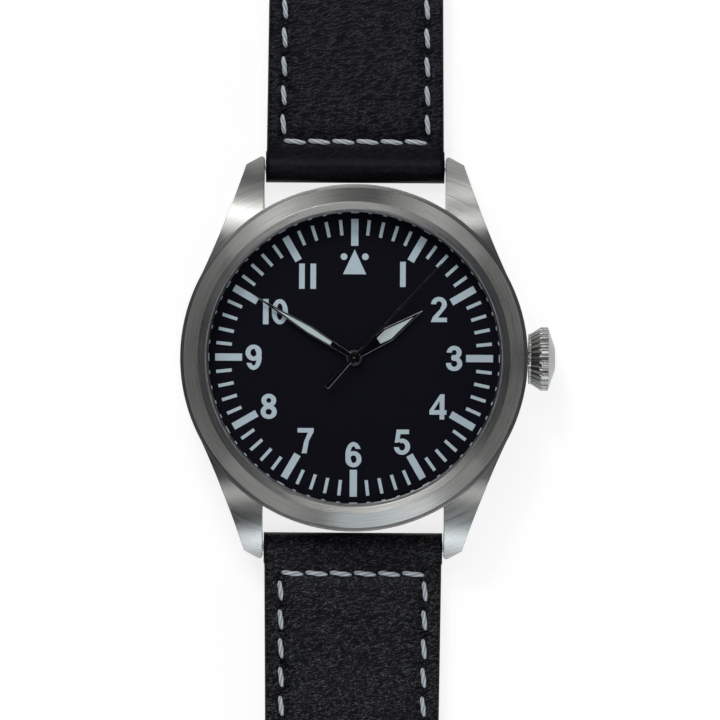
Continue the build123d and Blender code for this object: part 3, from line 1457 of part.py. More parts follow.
lining_end_y = buckle_y - buckle_end_r
with BuildPart() as strap_12_lining:
    with BuildSketch(Plane.YZ):
        with BuildLine():
            start_y = fold_tail_y + fold_gap
            raised = strap_low + buckle_rise
            Polyline((start_y, strap_low), (padding_y, strap_low), (rise_end_y, raised),
                     (lining_end_y, raised), (lining_end_y, keeper_channel_low),
                     (rise_end_y, keeper_channel_low), (padding_y, under_12),
                     (start_y, under_12), close=True)
        make_face()
        with Locations((buckle_y, buckle_z)):
            Circle(buckle_tunnel_r, mode=Mode.SUBTRACT)
    extrude(amount=strap_width, both=True)
    cut_plan(buckle_y + buckle_end_r, strap_buckle_width)
    block((-tongue_slot_width / 2, tongue_slot_width / 2), (tunnel_fold_y, buckle_y + overrun),
          (0, case_top), mode=Mode.SUBTRACT)
save(strap_12_lining, "strap_12_lining")

hole_places = [(0, -strap_hole_start_y - number * strap_hole_pitch)
               for number in range(strap_holes)]
with BuildPart() as upper_6:
    fold_round_bar(((padding_y, padding_top), (strap_hole_start_y, strap_6_top),
                    (strap_tip_y + overrun, strap_6_top), (strap_tip_y + overrun, under_12)))
    cut_plan(strap_tip_y + overrun, strap_tip_width)
    round_long_edges(upper_6, under_12)
    cut_tip(strap_tip_y - strap_tip_point)
    cut_stitch_pockets(side_stitches_6, top_6)
with BuildPart() as strap_6_upper:
    mirror(upper_6.part, about=Plane.XZ)
    for centre in hole_places:
        disc(strap_hole_r, 0, case_top, centre=centre, mode=Mode.SUBTRACT)
save(strap_6_upper, "strap_6_upper")

with BuildPart() as lining_6:
    block((-strap_width, strap_width), (fold_tail_y + fold_gap, strap_tip_y + overrun),
          (strap_low, under_12))
    cut_plan(strap_tip_y + overrun, strap_tip_width)
    cut_tip(strap_tip_y - strap_tip_point)
with BuildPart() as strap_6_lining:
    mirror(lining_6.part, about=Plane.XZ)
    for centre in hole_places:
        disc(strap_hole_r, 0, case_top, centre=centre, mode=Mode.SUBTRACT)
save(strap_6_lining, "strap_6_lining")

with BuildPart() as stitching_12:
    stitch_solids(side_stitches_12, top_12)
save(stitching_12, "stitching_12")

with BuildPart() as stitches_6:
    stitch_solids(side_stitches_6, top_6)
with BuildPart() as stitching_6:
    mirror(stitches_6.part, about=Plane.XZ)
save(stitching_6, "stitching_6")


# Keepers: leather loops, as wide as the strap and high enough for the other half
def loop(y, low, high, thickness):
    """A rounded loop across the strap, from its inner low face to its inner high face."""
    with BuildSketch(Plane.XZ.offset(-y - keeper_length / 2)) as face:
        middle = (low + high) / 2
        with Locations((0, middle)):
            RectangleRounded(2 * (keeper_half_width + thickness), high - low + 2 * thickness,
                             keeper_round)
            Rectangle(2 * keeper_half_width, high - low, mode=Mode.SUBTRACT)
    extrude(face.sketch, amount=keeper_length)


with BuildPart() as fixed_keeper:
    loop(fixed_keeper_y, keeper_channel_low + keeper_thickness,
         top_12(fixed_keeper_y) + keeper_room, keeper_thickness)
save(fixed_keeper, "fixed_keeper")

with BuildPart() as free_keeper:
    loop(free_keeper_y, strap_low + buckle_rise - free_keeper_gap,
         top_12(free_keeper_y) + keeper_room, keeper_thickness)
save(free_keeper, "free_keeper")

# Buckle: frame, bar and tongue
frame_outer = frame_inner_width + 2 * frame_arm_width
frame_low = buckle_z - frame_thickness / 2
with BuildPart() as buckle_frame:
    with BuildSketch(Plane.XY.offset(frame_low)):
        with Locations((0, buckle_y - frame_back_reach)):
            Rectangle(frame_outer, frame_reach + frame_back_reach,
                      align=(Align.CENTER, Align.MIN))
        with Locations((0, buckle_y - frame_back_reach - overrun)):
            Rectangle(frame_inner_width,
                      frame_reach + frame_back_reach + overrun - frame_cross_width,
                      align=(Align.CENTER, Align.MIN), mode=Mode.SUBTRACT)
    extrude(amount=frame_thickness)
    front = buckle_y + frame_reach
    corners = buckle_frame.edges().filter_by(Axis.Z).filter_by(
        lambda edge: edge.center().Y > front - play)
    fillet(corners, frame_corner)
    block((-frame_outer, frame_outer), (front - frame_cross_width, front + overrun),
          (frame_low + frame_thickness - frame_drop, case_top), mode=Mode.SUBTRACT)
    cross_bar(buckle_bar_r, -frame_outer / 2 + frame_arm_width / 2,
              frame_outer / 2 - frame_arm_width / 2, buckle_y, buckle_z, mode=Mode.SUBTRACT)
save(buckle_frame, "buckle_frame")

with BuildPart() as buckle_bar:
    cross_bar(buckle_bar_r, -frame_outer / 2 + frame_arm_width / 2,
              frame_outer / 2 - frame_arm_width / 2, buckle_y, buckle_z)
save(buckle_bar, "buckle_bar")

tongue_low = frame_low + frame_thickness - frame_drop + play
with BuildPart() as buckle_tongue:
    cross_bar(tongue_loop_r, -tongue_width / 2, tongue_width / 2, buckle_y, buckle_z)
    block((-tongue_width / 2, tongue_width / 2), (buckle_y, buckle_y + tongue_reach - tongue_width / 2),
          (tongue_low, tongue_low + tongue_thickness))
    disc(tongue_width / 2, tongue_low, tongue_low + tongue_thickness,
         centre=(0, buckle_y + tongue_reach - tongue_width / 2))
    cross_bar(buckle_bar_r + pinion_bore_gap, -tongue_width, tongue_width, buckle_y, buckle_z,
              mode=Mode.SUBTRACT)
save(buckle_tongue, "buckle_tongue")
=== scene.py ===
# %% [markdown]
# # Dressing a pilot watch
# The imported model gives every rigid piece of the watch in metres, with the dial's axis at the
# origin, +Z out of the dial and +Y towards 12 o'clock. This lesson adds what a camera sees:
# brushed steel, a matt dial, coated glass, domed leather and twisted thread.

from math import radians

import bmesh
import bpy
import numpy as np
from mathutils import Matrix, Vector


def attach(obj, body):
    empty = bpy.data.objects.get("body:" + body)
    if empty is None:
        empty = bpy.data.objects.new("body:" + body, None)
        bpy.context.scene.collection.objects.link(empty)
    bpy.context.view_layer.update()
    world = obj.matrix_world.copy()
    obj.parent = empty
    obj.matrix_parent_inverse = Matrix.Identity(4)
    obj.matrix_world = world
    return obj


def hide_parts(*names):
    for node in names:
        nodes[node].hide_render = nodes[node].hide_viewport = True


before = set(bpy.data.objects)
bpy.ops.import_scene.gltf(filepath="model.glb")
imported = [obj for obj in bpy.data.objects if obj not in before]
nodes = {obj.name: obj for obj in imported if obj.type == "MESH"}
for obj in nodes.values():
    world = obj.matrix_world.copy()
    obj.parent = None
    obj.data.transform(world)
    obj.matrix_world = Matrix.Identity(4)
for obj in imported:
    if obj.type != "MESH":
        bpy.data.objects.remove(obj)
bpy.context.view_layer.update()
mm = 0.001
print("pieces from the model:", len(nodes))

# %% [markdown]
# ## The camera
# The photograph looks straight down on the watch, with hardly any perspective. A long lens from
# nearly a metre does the same. The picture is 87 mm wide at the height of the dial, and the
# watch lies a little off its middle and turned by a third of a degree.

# %% Place the camera
camera_height = 0.9
camera_x, camera_y = 0.72 * mm, -0.26 * mm
camera_turn = radians(0.35)
film_width = 36
picture_width = 86.96 * mm
dial_height = 8 * mm
camera_data = bpy.data.cameras.new("camera")
camera_data.sensor_width = film_width
camera_data.lens = film_width * (camera_height - dial_height) / picture_width
camera_data.clip_start, camera_data.clip_end = 0.1, 20
camera = bpy.data.objects.new("camera", camera_data)
camera.location = (camera_x, camera_y, camera_height)
camera.rotation_euler = (0, 0, camera_turn)
bpy.context.scene.collection.objects.link(camera)
bpy.context.scene.camera = camera
print("lens in mm:", round(camera_data.lens))

# %% [markdown]
# ## Small helpers for materials
# A material is a tree of nodes. These helpers make a tree, add a node with its inputs in one
# line, and give every material of this lesson the same start.


# %% Node helpers
def new_material(name, colour, roughness, metallic=0.0):
    """A material with its main shader set to a colour, a roughness and a metallic share."""
    material = bpy.data.materials.new(name)
    material.use_nodes = True
    shader = material.node_tree.nodes["Principled BSDF"]
    shader.inputs["Base Color"].default_value = (*colour, 1)
    shader.inputs["Roughness"].default_value = roughness
    shader.inputs["Metallic"].default_value = metallic
    return material, material.node_tree, shader


def add_node(tree, kind, inputs=None, **settings):
    """Add a node, apply its settings, and set or link each input that is given."""
    made = tree.nodes.new("ShaderNode" + kind)
    for key, value in settings.items():
        setattr(made, key, value)
    for key, value in (inputs or {}).items():
        if isinstance(value, bpy.types.NodeSocket):
            tree.links.new(value, made.inputs[key])
        else:
            made.inputs[key].default_value = value
    return made


def object_place(tree):
    """The socket that holds a point's place on the object, in metres."""
    return add_node(tree, "TexCoord").outputs["Object"]


def stretched(tree, place, scale):
    """A place scaled along each axis, so that a pattern is drawn out where the scale is small."""
    return add_node(tree, "VectorMath", {0: place, 1: scale}, operation="MULTIPLY").outputs[0]


def noise(tree, place, scale, detail=3.0, rough=0.5):
    """A noise value between 0 and 1."""
    made = add_node(tree, "TexNoise", {"Vector": place, "Scale": scale, "Detail": detail,
                                       "Roughness": rough})
    return made.outputs["Fac"]


def spread(tree, value, low, high, start=0.0, stop=1.0):
    """Map a value from between start and stop to between low and high."""
    made = add_node(tree, "MapRange", {"Value": value, "From Min": start, "From Max": stop,
                                       "To Min": low, "To Max": high})
    return made.outputs["Result"]


def between(tree, factor, first, second):
    """A colour mixed from two by a factor."""
    made = add_node(tree, "Mix", {"Factor": factor}, data_type="RGBA")
    made.inputs[6].default_value = (*first, 1)
    made.inputs[7].default_value = (*second, 1)
    return made.outputs[2]


def bump(tree, shader, height, strength, distance, under=None):
    """Raise and lower the shading by a height value."""
    inputs = {"Height": height, "Strength": strength, "Distance": distance}
    if under is not None:
        inputs["Normal"] = under
    made = add_node(tree, "Bump", inputs)
    tree.links.new(made.outputs[0], shader.inputs["Normal"])


def dress(names, material):
    """Give a material to CAD pieces."""
    for name in names:
        slots = nodes[name].material_slots
        for slot in slots:
            slot.material = material
        if not slots:
            nodes[name].data.materials.append(material)


# %% [markdown]
# ## Brushed steel
# On the real watch the case, the lugs and the bezel are brushed in circles round the dial, so
# their light runs in spokes across the grooves. It could be drawn as stripes of colour, but the
# spokes would not move with the light. Here the fine streaks are a noise that is drawn out along
# the groove, and the shader spreads its reflection across the groove.


# %% Brushed steel
def groove_round(tree, place, centre, axis):
    """The groove's direction: the cross product of the turning axis and the way from it."""
    arm = add_node(tree, "VectorMath", {0: place, 1: centre}, operation="SUBTRACT").outputs[0]
    made = add_node(tree, "VectorMath", {0: axis, 1: arm}, operation="CROSS_PRODUCT")
    return made.outputs[0], arm


def streak_place(tree, groove, arm, axis, around, across):
    """Slow along the groove and fast across it: the groove's unit direction times around, plus
    the axis times the distance from it (less 0.7 of the height) times across."""
    unit = add_node(tree, "VectorMath", {0: groove}, operation="NORMALIZE").outputs[0]
    slow = stretched(tree, unit, (around,) * 3)
    reach = add_node(tree, "VectorMath", {0: groove}, operation="LENGTH").outputs["Value"]
    height = add_node(tree, "VectorMath", {0: arm, 1: axis}, operation="DOT_PRODUCT")
    part = add_node(tree, "Math", {0: height.outputs["Value"], 1: -0.7, 2: reach},
                    operation="MULTIPLY_ADD").outputs[0]
    fast = add_node(tree, "Math", {0: part, 1: across}, operation="MULTIPLY").outputs[0]
    along = add_node(tree, "VectorMath", {0: axis, "Scale": fast}, operation="SCALE").outputs[0]
    return add_node(tree, "VectorMath", {0: slow, 1: along}, operation="ADD").outputs[0]


def brushed_steel(name, colour, centre=(0, 0, 0), axis=(0, 0, 1), straight=None, around=3.0,
                  across=8500.0, roughness=0.28, spreading=0.75, edge=0.12 * mm):
    """Steel brushed in circles round an axis, or in straight lines along a direction. The
    streaks vary the shade by 22 per cent, the roughness and a faint bump. The shader's tangent
    is the cross product of groove and face, so the gloss spreads across the groove."""
    material, tree, shader = new_material(name, colour, roughness, 1.0)
    place = object_place(tree)
    if straight is None:
        groove, arm = groove_round(tree, place, centre, axis)
        streaks = streak_place(tree, groove, arm, axis, around, across)
    else:
        groove = add_node(tree, "CombineXYZ", dict(zip("XYZ", straight))).outputs[0]
        drawn_out = 25
        scale = [across / drawn_out if part else across for part in straight]
        streaks = stretched(tree, place, scale)
    fine = spread(tree, noise(tree, streaks, 1.0, detail=4.0, rough=0.65), 0.0, 1.0, 0.3, 0.7)
    broad = noise(tree, place, 140.0, detail=2.0)
    dark, light = [tuple(part * share for part in colour) for share in (0.78, 1.22)]
    tree.links.new(between(tree, fine, dark, light), shader.inputs["Base Color"])
    worn = add_node(tree, "Math", {0: fine, 1: 0.6, 2: broad}, operation="MULTIPLY_ADD").outputs[0]
    tree.links.new(spread(tree, worn, roughness - 0.1, roughness + 0.06),
                   shader.inputs["Roughness"])
    shader.inputs["Anisotropic"].default_value = spreading
    world = add_node(tree, "VectorTransform", {0: groove}, vector_type="VECTOR",
                     convert_from="OBJECT", convert_to="WORLD").outputs[0]
    facing = add_node(tree, "NewGeometry").outputs["Normal"]
    across_groove = add_node(tree, "VectorMath", {0: world, 1: facing},
                             operation="CROSS_PRODUCT").outputs[0]
    tree.links.new(across_groove, shader.inputs["Tangent"])
    soft_edge = add_node(tree, "Bevel", {"Radius": edge}, samples=6).outputs[0]
    bump(tree, shader, fine, 0.3, 0.008 * mm, soft_edge)
    return material


steel_colour = (0.36, 0.358, 0.342)
dress(["case_middle", "bezel", "case_back"], brushed_steel("case_steel", steel_colour))
buckle_steel = brushed_steel("buckle_steel", steel_colour, straight=(1, 0, 0), spreading=0.6)
dress(["buckle_frame", "buckle_tongue"], buckle_steel)

# %% [markdown]
# The crown is turned about its stem, so its brushing runs round the X axis. Its 30 flutes are
# part of the model, but the fine ribs that carry them on over the conical skirt are not. They
# are a bump: the cosine of 30 times the angle about the stem, faded out where the rim begins.

# %% Crown
stem_height = 4.4 * mm
flutes, skirt_end, rim_start = 30.0, 22.5 * mm, 22.7 * mm
rib_depth = 0.05 * mm
crown_steel = brushed_steel("crown_steel", (0.34, 0.34, 0.33), centre=(0, 0, stem_height),
                            axis=(1, 0, 0), around=1.0, across=4000.0, roughness=0.27,
                            spreading=0.2, edge=0.03 * mm)
dress(["crown"], crown_steel)
crown_tree = crown_steel.node_tree
part_of = add_node(crown_tree, "SeparateXYZ", {0: object_place(crown_tree)}).outputs
above = add_node(crown_tree, "Math", {0: part_of["Z"], 1: stem_height}, operation="SUBTRACT")
turn = add_node(crown_tree, "Math", {0: part_of["Y"], 1: above.outputs[0]}, operation="ARCTAN2")
waves = add_node(crown_tree, "Math", {0: turn.outputs[0], 1: flutes}, operation="MULTIPLY")
ribs = add_node(crown_tree, "Math", {0: waves.outputs[0]}, operation="COSINE")
skirt = spread(crown_tree, part_of["X"], 1.0, 0.0, skirt_end, rim_start)
rib_height = add_node(crown_tree, "Math", {0: ribs.outputs[0], 1: skirt}, operation="MULTIPLY")
crown_shader = crown_tree.nodes["Principled BSDF"]
streaks_under = crown_shader.inputs["Normal"].links[0].from_socket
bump(crown_tree, crown_shader, rib_height.outputs[0], 1.0, rib_depth, streaks_under)
print("ribs on the crown's skirt:", int(flutes))


# %% [markdown]
# ## Polished, plated and gilt pieces
# The movement hides behind the dial, but each of its pieces still has a finish of its own: a
# polish with a faint mottle, whose roughness and shade follow one soft noise.


# %% Plain metals
def polished(name, colour, roughness=0.16):
    """A polished metal with a faint mottle in shade and roughness."""
    material, tree, shader = new_material(name, colour, roughness, 1.0)
    patches = noise(tree, object_place(tree), 900.0)
    tree.links.new(between(tree, patches, tuple(0.88 * part for part in colour), colour),
                   shader.inputs["Base Color"])
    tree.links.new(spread(tree, patches, roughness * 0.7, roughness * 1.5),
                   shader.inputs["Roughness"])
    return material


polished_steel = polished("polished_steel", (0.5, 0.5, 0.5))
dress(["crown_tube", "winding_stem", "movement_screws", "spring_bars", "buckle_bar",
       "barrel_arbor", "ratchet_wheel", "crown_wheel", "winding_pinion", "sliding_pinion",
       "escape_wheel", "pallet_fork", "cannon_pinion", "bar_tip_12_right", "bar_tip_12_left",
       "bar_tip_6_right", "bar_tip_6_left"], polished_steel)
dress(["main_plate", "train_bridge", "barrel_bridge", "balance_cock", "pallet_bridge"],
      polished("nickel_plate", (0.58, 0.56, 0.5), 0.28))
dress(["barrel", "center_wheel", "third_wheel", "fourth_wheel", "balance_wheel", "minute_wheel",
       "hour_wheel"], polished("gilt_brass", (0.62, 0.43, 0.16), 0.2))
dress(["mainspring", "hairspring"], polished("blued_spring", (0.12, 0.14, 0.24), 0.25))
dress(["rotor"], polished("rotor_steel", (0.45, 0.45, 0.45), 0.3))
print("materials so far:", len(bpy.data.materials))


# %% [markdown]
# ## Dial, markers and hands
# The dial is a matt black lacquer with the faintest blue in it. Its markers are a thick paint
# that glows in the dark, pale grey blue by day and slightly uneven at its surface. The hands'
# filling is a little greener than the dial's.


# %% Dial paints
def matt_paint(name, colour, roughness, grain, depth):
    """A paint whose shade and surface follow a fine grain. The shade varies by a tenth."""
    material, tree, shader = new_material(name, colour, roughness)
    speckle = noise(tree, object_place(tree), grain, detail=4.0)
    dark, light = [tuple(part * share for part in colour) for share in (0.9, 1.1)]
    tree.links.new(between(tree, speckle, dark, light), shader.inputs["Base Color"])
    tree.links.new(spread(tree, speckle, roughness - 0.08, roughness + 0.08),
                   shader.inputs["Roughness"])
    bump(tree, shader, speckle, 0.3, depth)
    return material, shader


dial_black, dial_shader = matt_paint("dial_black", (0.0036, 0.0036, 0.0082), 0.75, 9000.0,
                                     0.004 * mm)
dial_shader.inputs["Specular IOR Level"].default_value = 0.12
dress(["dial"], dial_black)
dress(["dial_markers"], matt_paint("marker_paint", (0.64, 0.76, 0.8), 0.7, 6000.0, 0.01 * mm)[0])
dress(["hour_hand_lume", "minute_hand_lume"],
      matt_paint("hand_paint", (0.68, 0.78, 0.72), 0.7, 6000.0, 0.01 * mm)[0])
dress(["rehaut_ring"], matt_paint("rehaut_black", (0.006, 0.006, 0.009), 0.3, 3000.0,
                                  0.002 * mm)[0])
dress(["crystal_gasket"], polished("gasket_gloss", (0.42, 0.42, 0.42), 0.3))
dress(["case_back_gasket", "crown_gasket"], matt_paint("seal_rubber", (0.02, 0.02, 0.02), 0.6,
                                                       3000.0, 0.004 * mm)[0])
dress(["movement_ring"], matt_paint("ring_plastic", (0.12, 0.12, 0.13), 0.5, 2000.0,
                                    0.004 * mm)[0])
dress(["jewels"], matt_paint("jewel_ruby", (0.45, 0.02, 0.07), 0.12, 2000.0, 0.001 * mm)[0])

# %% [markdown]
# The hands are black plates with bright bevelled edges, which is all that shows of them against
# the dial. The flat plates come from the model. A copy gets a bevel of about a twentieth of a
# millimetre, and the bevel's faces take a second, bright material. The seconds hand shows its
# edges behind the hub only, so its bevel is weighted: full on the tail, a tenth on the needle.

# %% Hands
hand_black, hand_tree, hand_shader = new_material("hand_black", (0.003, 0.003, 0.004), 0.4)
hand_speckle = noise(hand_tree, object_place(hand_tree), 5000.0)
hand_tree.links.new(spread(hand_tree, hand_speckle, 0.3, 0.45), hand_shader.inputs["Roughness"])
hand_shader.inputs["Specular IOR Level"].default_value = 0.04
hand_edge = polished("hand_edge", (0.8, 0.8, 0.8), 0.4)
sharp_angle, hub_radius = radians(50), 0.6 * mm


def merged_copy(name, node):
    """A copy of a CAD piece with its loose triangles joined and its flat faces made whole."""
    mesh = nodes[node].data.copy()
    mesh.name = name
    shape = bmesh.new()
    shape.from_mesh(mesh)
    bmesh.ops.remove_doubles(shape, verts=shape.verts, dist=1e-7)
    bmesh.ops.dissolve_limit(shape, angle_limit=radians(1), verts=shape.verts, edges=shape.edges)
    shape.to_mesh(mesh)
    shape.free()
    piece = bpy.data.objects.new(name, mesh)
    bpy.context.scene.collection.objects.link(piece)
    return piece


def weigh_edges(mesh, heading, thin):
    """Bevel weights of the sharp edges: 1 behind the hub, which is where the dot product of an
    edge's middle and the hand's heading is below minus the hub's radius, and thin elsewhere."""
    shape = bmesh.new()
    shape.from_mesh(mesh)
    weight = shape.edges.layers.float.new("bevel_weight_edge")
    for edge in shape.edges:
        if edge.calc_face_angle(0.0) > sharp_angle:
            middle = (edge.verts[0].co + edge.verts[1].co) / 2
            edge[weight] = 1.0 if middle.dot(heading) < -hub_radius else thin
    shape.to_mesh(mesh)
    shape.free()


def bevelled_hand(name, node, body, width, edge=hand_edge, heading=None, thin=1.0):
    """A hand with a bright bevel along its edges, thinner ahead of the hub where thin says so."""
    piece = merged_copy(name, node)
    piece.data.materials.clear()
    piece.data.materials.append(hand_black)
    piece.data.materials.append(edge)
    bevel = piece.modifiers.new("edges", "BEVEL")
    bevel.width = width
    bevel.segments = 1
    bevel.limit_method = "ANGLE"
    bevel.angle_limit = sharp_angle
    bevel.material = 1
    if heading is not None:
        weigh_edges(piece.data, heading, thin)
        bevel.limit_method = "WEIGHT"
    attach(piece, body)
    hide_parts(node)


blade_bevel, tail_bevel = 0.045 * mm, 0.055 * mm
bevelled_hand("hour_hand_blade", "hour_hand", "hour_hand", blade_bevel)
bevelled_hand("minute_hand_blade", "minute_hand", "minute_hand", blade_bevel)
seconds_angle = radians(42.5)
seconds_way = Vector((np.sin(seconds_angle), np.cos(seconds_angle), 0))
bevelled_hand("seconds_hand_blade", "seconds_hand", "fourth_wheel", tail_bevel,
              polished("seconds_edge", (0.9, 0.9, 0.9), 0.5), seconds_way, 0.1)

# %% [markdown]
# ## Crystal
# The glass is coated against reflections, so the dial stays black under it. Real refraction
# would cost many light bounces for no visible gain, because the glass is thin and nearly flat.
# It lets light straight through and keeps only a faint, cool gloss.

# %% Crystal
crystal_glass, glass_tree, _ = new_material("crystal_glass", (1, 1, 1), 0.02)
clear = add_node(glass_tree, "BsdfTransparent", {"Color": (0.985, 0.99, 1.0, 1)})
gloss = add_node(glass_tree, "BsdfGlossy", {"Color": (0.75, 0.8, 1.0, 1), "Roughness": 0.03})
facing_share = add_node(glass_tree, "LayerWeight", {"Blend": 0.1}).outputs["Fresnel"]
coated = spread(glass_tree, facing_share, 0.0, 0.35)
smudges = noise(glass_tree, object_place(glass_tree), 60.0)
gloss_share = add_node(glass_tree, "Math", {0: coated, 1: spread(glass_tree, smudges, 0.8, 1.0)},
                       operation="MULTIPLY").outputs[0]
glass_mix = add_node(glass_tree, "MixShader", {0: gloss_share, 1: clear.outputs[0],
                                               2: gloss.outputs[0]})
glass_tree.links.new(glass_mix.outputs[0], glass_tree.nodes["Material Output"].inputs[0])
dress(["crystal"], crystal_glass)
print("glass over the dial, materials so far:", len(bpy.data.materials))

# %% [markdown]
# ## The strap's shape
# Each half is a domed upper of leather over a flat lining. A plain extruded band would look
# like rubber, so the top is worked out as a height over the plan: the strap's own line, less
# the rounded edge, less the lower margin outside the seam, less the groove and the little
# dimples that the stitches pull. All of it is one array of heights.

# %% Sizes of the straps, the same values as the model's, in millimetres
bar_y, bar_z, end_r = 23.15, 2.1, 1.9
fold_tail_y, dome_y, rise_end_y = bar_y + 2.45, bar_y + 6.85, bar_y + 23.85
buckle_y, buckle_z, buckle_r = bar_y + 74.85, 3.0, 1.6
tip_y, tip_half, tip_point, tip_r = bar_y + 119.85, 9.5, 9.0, 9.514
low_z, lining_z, raised_z, hole_start_y = 0.2, 1.2, 1.2, bar_y + 66.85
bar_half, neck_half, buckle_half, widest = 10.85, 10.75, 10.0, 21.5
seam_inset, row_y, side_y, stitch_pitch = 1.95, bar_y + 3.05, bar_y + 5.15, 3.5
stitch_length, cross_stitches, cross_pitch = 2.46, 6, 17.6 / 6
side_counts = {"12": 18, "6": 29}
edge_r, dimple_depth, seam_depth = 0.6, 0.32, 0.1
print("strap halves from bar to end in mm:", round(buckle_y - bar_y), round(tip_y - bar_y))


def half_width(y, end_y, end_half):
    """Half the strap's width: a little wider round the bar, then a straight taper."""
    neck = bar_y + end_r
    return np.interp(y, [neck - 0.1, neck + 0.1, end_y], [bar_half, neck_half, end_half])


def plan_half(y, which):
    """Half the width along a strap half. The 6 o'clock half ends in a round tip, where the width
    is the lesser of the taper and a circle's height."""
    if which == "12":
        return half_width(y, buckle_y + buckle_r, buckle_half)
    half = half_width(y, tip_y + 2, tip_half)
    arc = np.clip(tip_r**2 - (y - (tip_y - tip_r))**2, 0, None)**0.5
    return np.where(y > tip_y - tip_point, np.minimum(half, arc), half)


def seam_half(y):
    """Half the width that the side seams are set out from: a straight taper to the buckle."""
    share = (y - bar_y) / (buckle_y - bar_y)
    return (widest - share * (widest - 2 * buckle_half)) / 2


def rounded_end(y, centre_y, radius):
    """Half the height of a round end at y: the circle's height, or the radius away from it."""
    return np.sqrt(np.clip(radius**2 - np.clip(centre_y - y, 0, radius)**2, 0, None))


def smooth_step(value):
    """0 below 0, 1 above 1, and the curve 3t^2 - 2t^3 between."""
    t = np.clip(value, 0, 1)
    return t * t * (3 - 2 * t)


# %% Heights of the top
edge_drop, margin_drop, margin_width, dome_rise = 0.9, 0.26, 1.7, 0.06
groove_width, wave_height, crease_height, crease_y = 0.32, 0.02, 0.03, 22.6
dimple_off, dimple_spread, dimple_reach = 0.12, 0.16, 1.6


def top_line(y, which):
    """The strap's own top line along its length, before the dome and the edges."""
    at_bar = bar_z + end_r
    if which == "12":
        end = buckle_z + buckle_r
        line = np.interp(y, [bar_y, dome_y, buckle_y], [at_bar, at_bar + 0.4, end])
    else:
        line = np.interp(y, [bar_y, dome_y, hole_start_y], [at_bar, at_bar + 0.4, 2.8])
    return np.where(y < bar_y, bar_z + rounded_end(y, bar_y, end_r), line)


def stitch_places(which):
    """Centre, direction (1 across, 0 along) and length of every stitch, as an array of rows."""
    numbers = np.arange(cross_stitches)
    cross_x = (numbers - (cross_stitches - 1) / 2) * cross_pitch
    cross = np.stack([cross_x, np.full(cross_stitches, row_y), np.ones(cross_stitches),
                      np.full(cross_stitches, cross_pitch - 0.2)], axis=1)
    y = side_y + np.arange(side_counts[which]) * stitch_pitch
    x = seam_half(y) - seam_inset
    side = [np.stack([sign * x, y, np.zeros_like(y), np.full_like(y, stitch_length)], axis=1)
            for sign in (1, -1)]
    return np.vstack([cross, *side])


def dimples(x, y, which):
    """How far the stitches pull the leather down: a small bell at both ends of each stitch."""
    places = stitch_places(which)
    step = places[:, 3:4] / 2 + dimple_off
    along = np.hstack([places[:, 2:3], 1 - places[:, 2:3]]) * step
    ends = np.vstack([places[:, :2] + along, places[:, :2] - along])
    depth = np.zeros_like(x)
    for end_x, end_y in ends:
        near = np.abs(y[:, 0] - end_y) < dimple_reach
        gap = (x[near] - end_x)**2 + (y[near] - end_y)**2
        depth[near] = np.maximum(depth[near], np.exp(-gap / dimple_spread))
    return dimple_depth * depth


def leather_top(x, y, half, which):
    """Top height in mm: the line, less the rounded edge, less the lower margin, plus the dome,
    less the seam's groove and the dimples, plus faint waves and creases at the fold. The margin
    fades between 50 and 80 mm from the dial's middle, down to a quarter of its drop."""
    inward = half - np.abs(x)
    edge = edge_r - np.sqrt(np.clip(edge_r**2 - np.clip(edge_r - inward, 0, edge_r)**2, 0, None))
    fade = 1 - 0.75 * smooth_step((y - 50) / 30)
    inside = smooth_step((inward - seam_inset) / margin_width) * smooth_step((y - row_y) / 1.8)
    margin = margin_drop * fade * (1 - inside) * smooth_step(y - bar_y)
    seam = np.exp(-((inward - seam_inset) / groove_width)**2) * (y > row_y)
    row = np.exp(-((y - row_y) / groove_width)**2) * (inward > seam_inset)
    wave = wave_height * np.sin(y * 1.9 + np.sin(x * 0.7) * 1.3) * np.sin(x * 0.45 + y * 0.31)
    at_fold = np.exp(-(y - crease_y)**2)
    creases = crease_height * np.sin(y * 6.5 + np.sin(x * 0.9) * 0.8) * at_fold
    height = top_line(y, which) - edge_drop * edge - margin
    return height + dome_rise * inside - seam_depth * np.maximum(seam, row) \
        - dimples(x, y, which) + wave * inside + creases


# %% [markdown]
# A strap piece is a loft: at every station along the strap stands a closed ring of points, left
# to right over the top and back along the bottom. The rings become a mesh in one step, and the
# two ends are closed with a face each.


# %% Loft rings into a mesh
def ring_mesh(name, rings):
    """A closed mesh from rings of points: quads between neighbouring rings, a cap at each end."""
    rows, columns = rings.shape[:2]
    index = np.arange(rows * columns).reshape(rows, columns)
    ahead = np.roll(index, -1, axis=1)
    quads = np.stack([index[:-1], ahead[:-1], ahead[1:], index[1:]], axis=-1).reshape(-1, 4)
    faces = quads.tolist() + [index[0][::-1].tolist(), index[-1].tolist()]
    mesh = bpy.data.meshes.new(name)
    mesh.from_pydata((rings.reshape(-1, 3) * mm).tolist(), [], faces)
    return tidy_mesh(mesh)


def tidy_mesh(mesh, sharp=40):
    """Join points that coincide, turn all faces outwards and shade the mesh smoothly."""
    shape = bmesh.new()
    shape.from_mesh(mesh)
    bmesh.ops.remove_doubles(shape, verts=shape.verts, dist=2e-6)
    bmesh.ops.recalc_face_normals(shape, faces=shape.faces)
    shape.to_mesh(mesh)
    shape.free()
    mesh.shade_smooth()
    mesh.set_sharp_from_angle(angle=radians(sharp))
    return mesh


def add_piece(name, mesh, body, material, replaced):
    """Put a finished mesh in the scene, riding on a body in place of a CAD piece."""
    piece = bpy.data.objects.new(name, mesh)
    bpy.context.scene.collection.objects.link(piece)
    mesh.materials.clear()
    mesh.materials.append(material)
    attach(piece, body)
    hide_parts(replaced)
    print(name, len(mesh.polygons), "faces")


def mirrored(rings, which):
    """Turn a half that is drawn towards 12 o'clock into one that points to 6 o'clock."""
    return rings if which == "12" else rings * np.array([1, -1, 1])


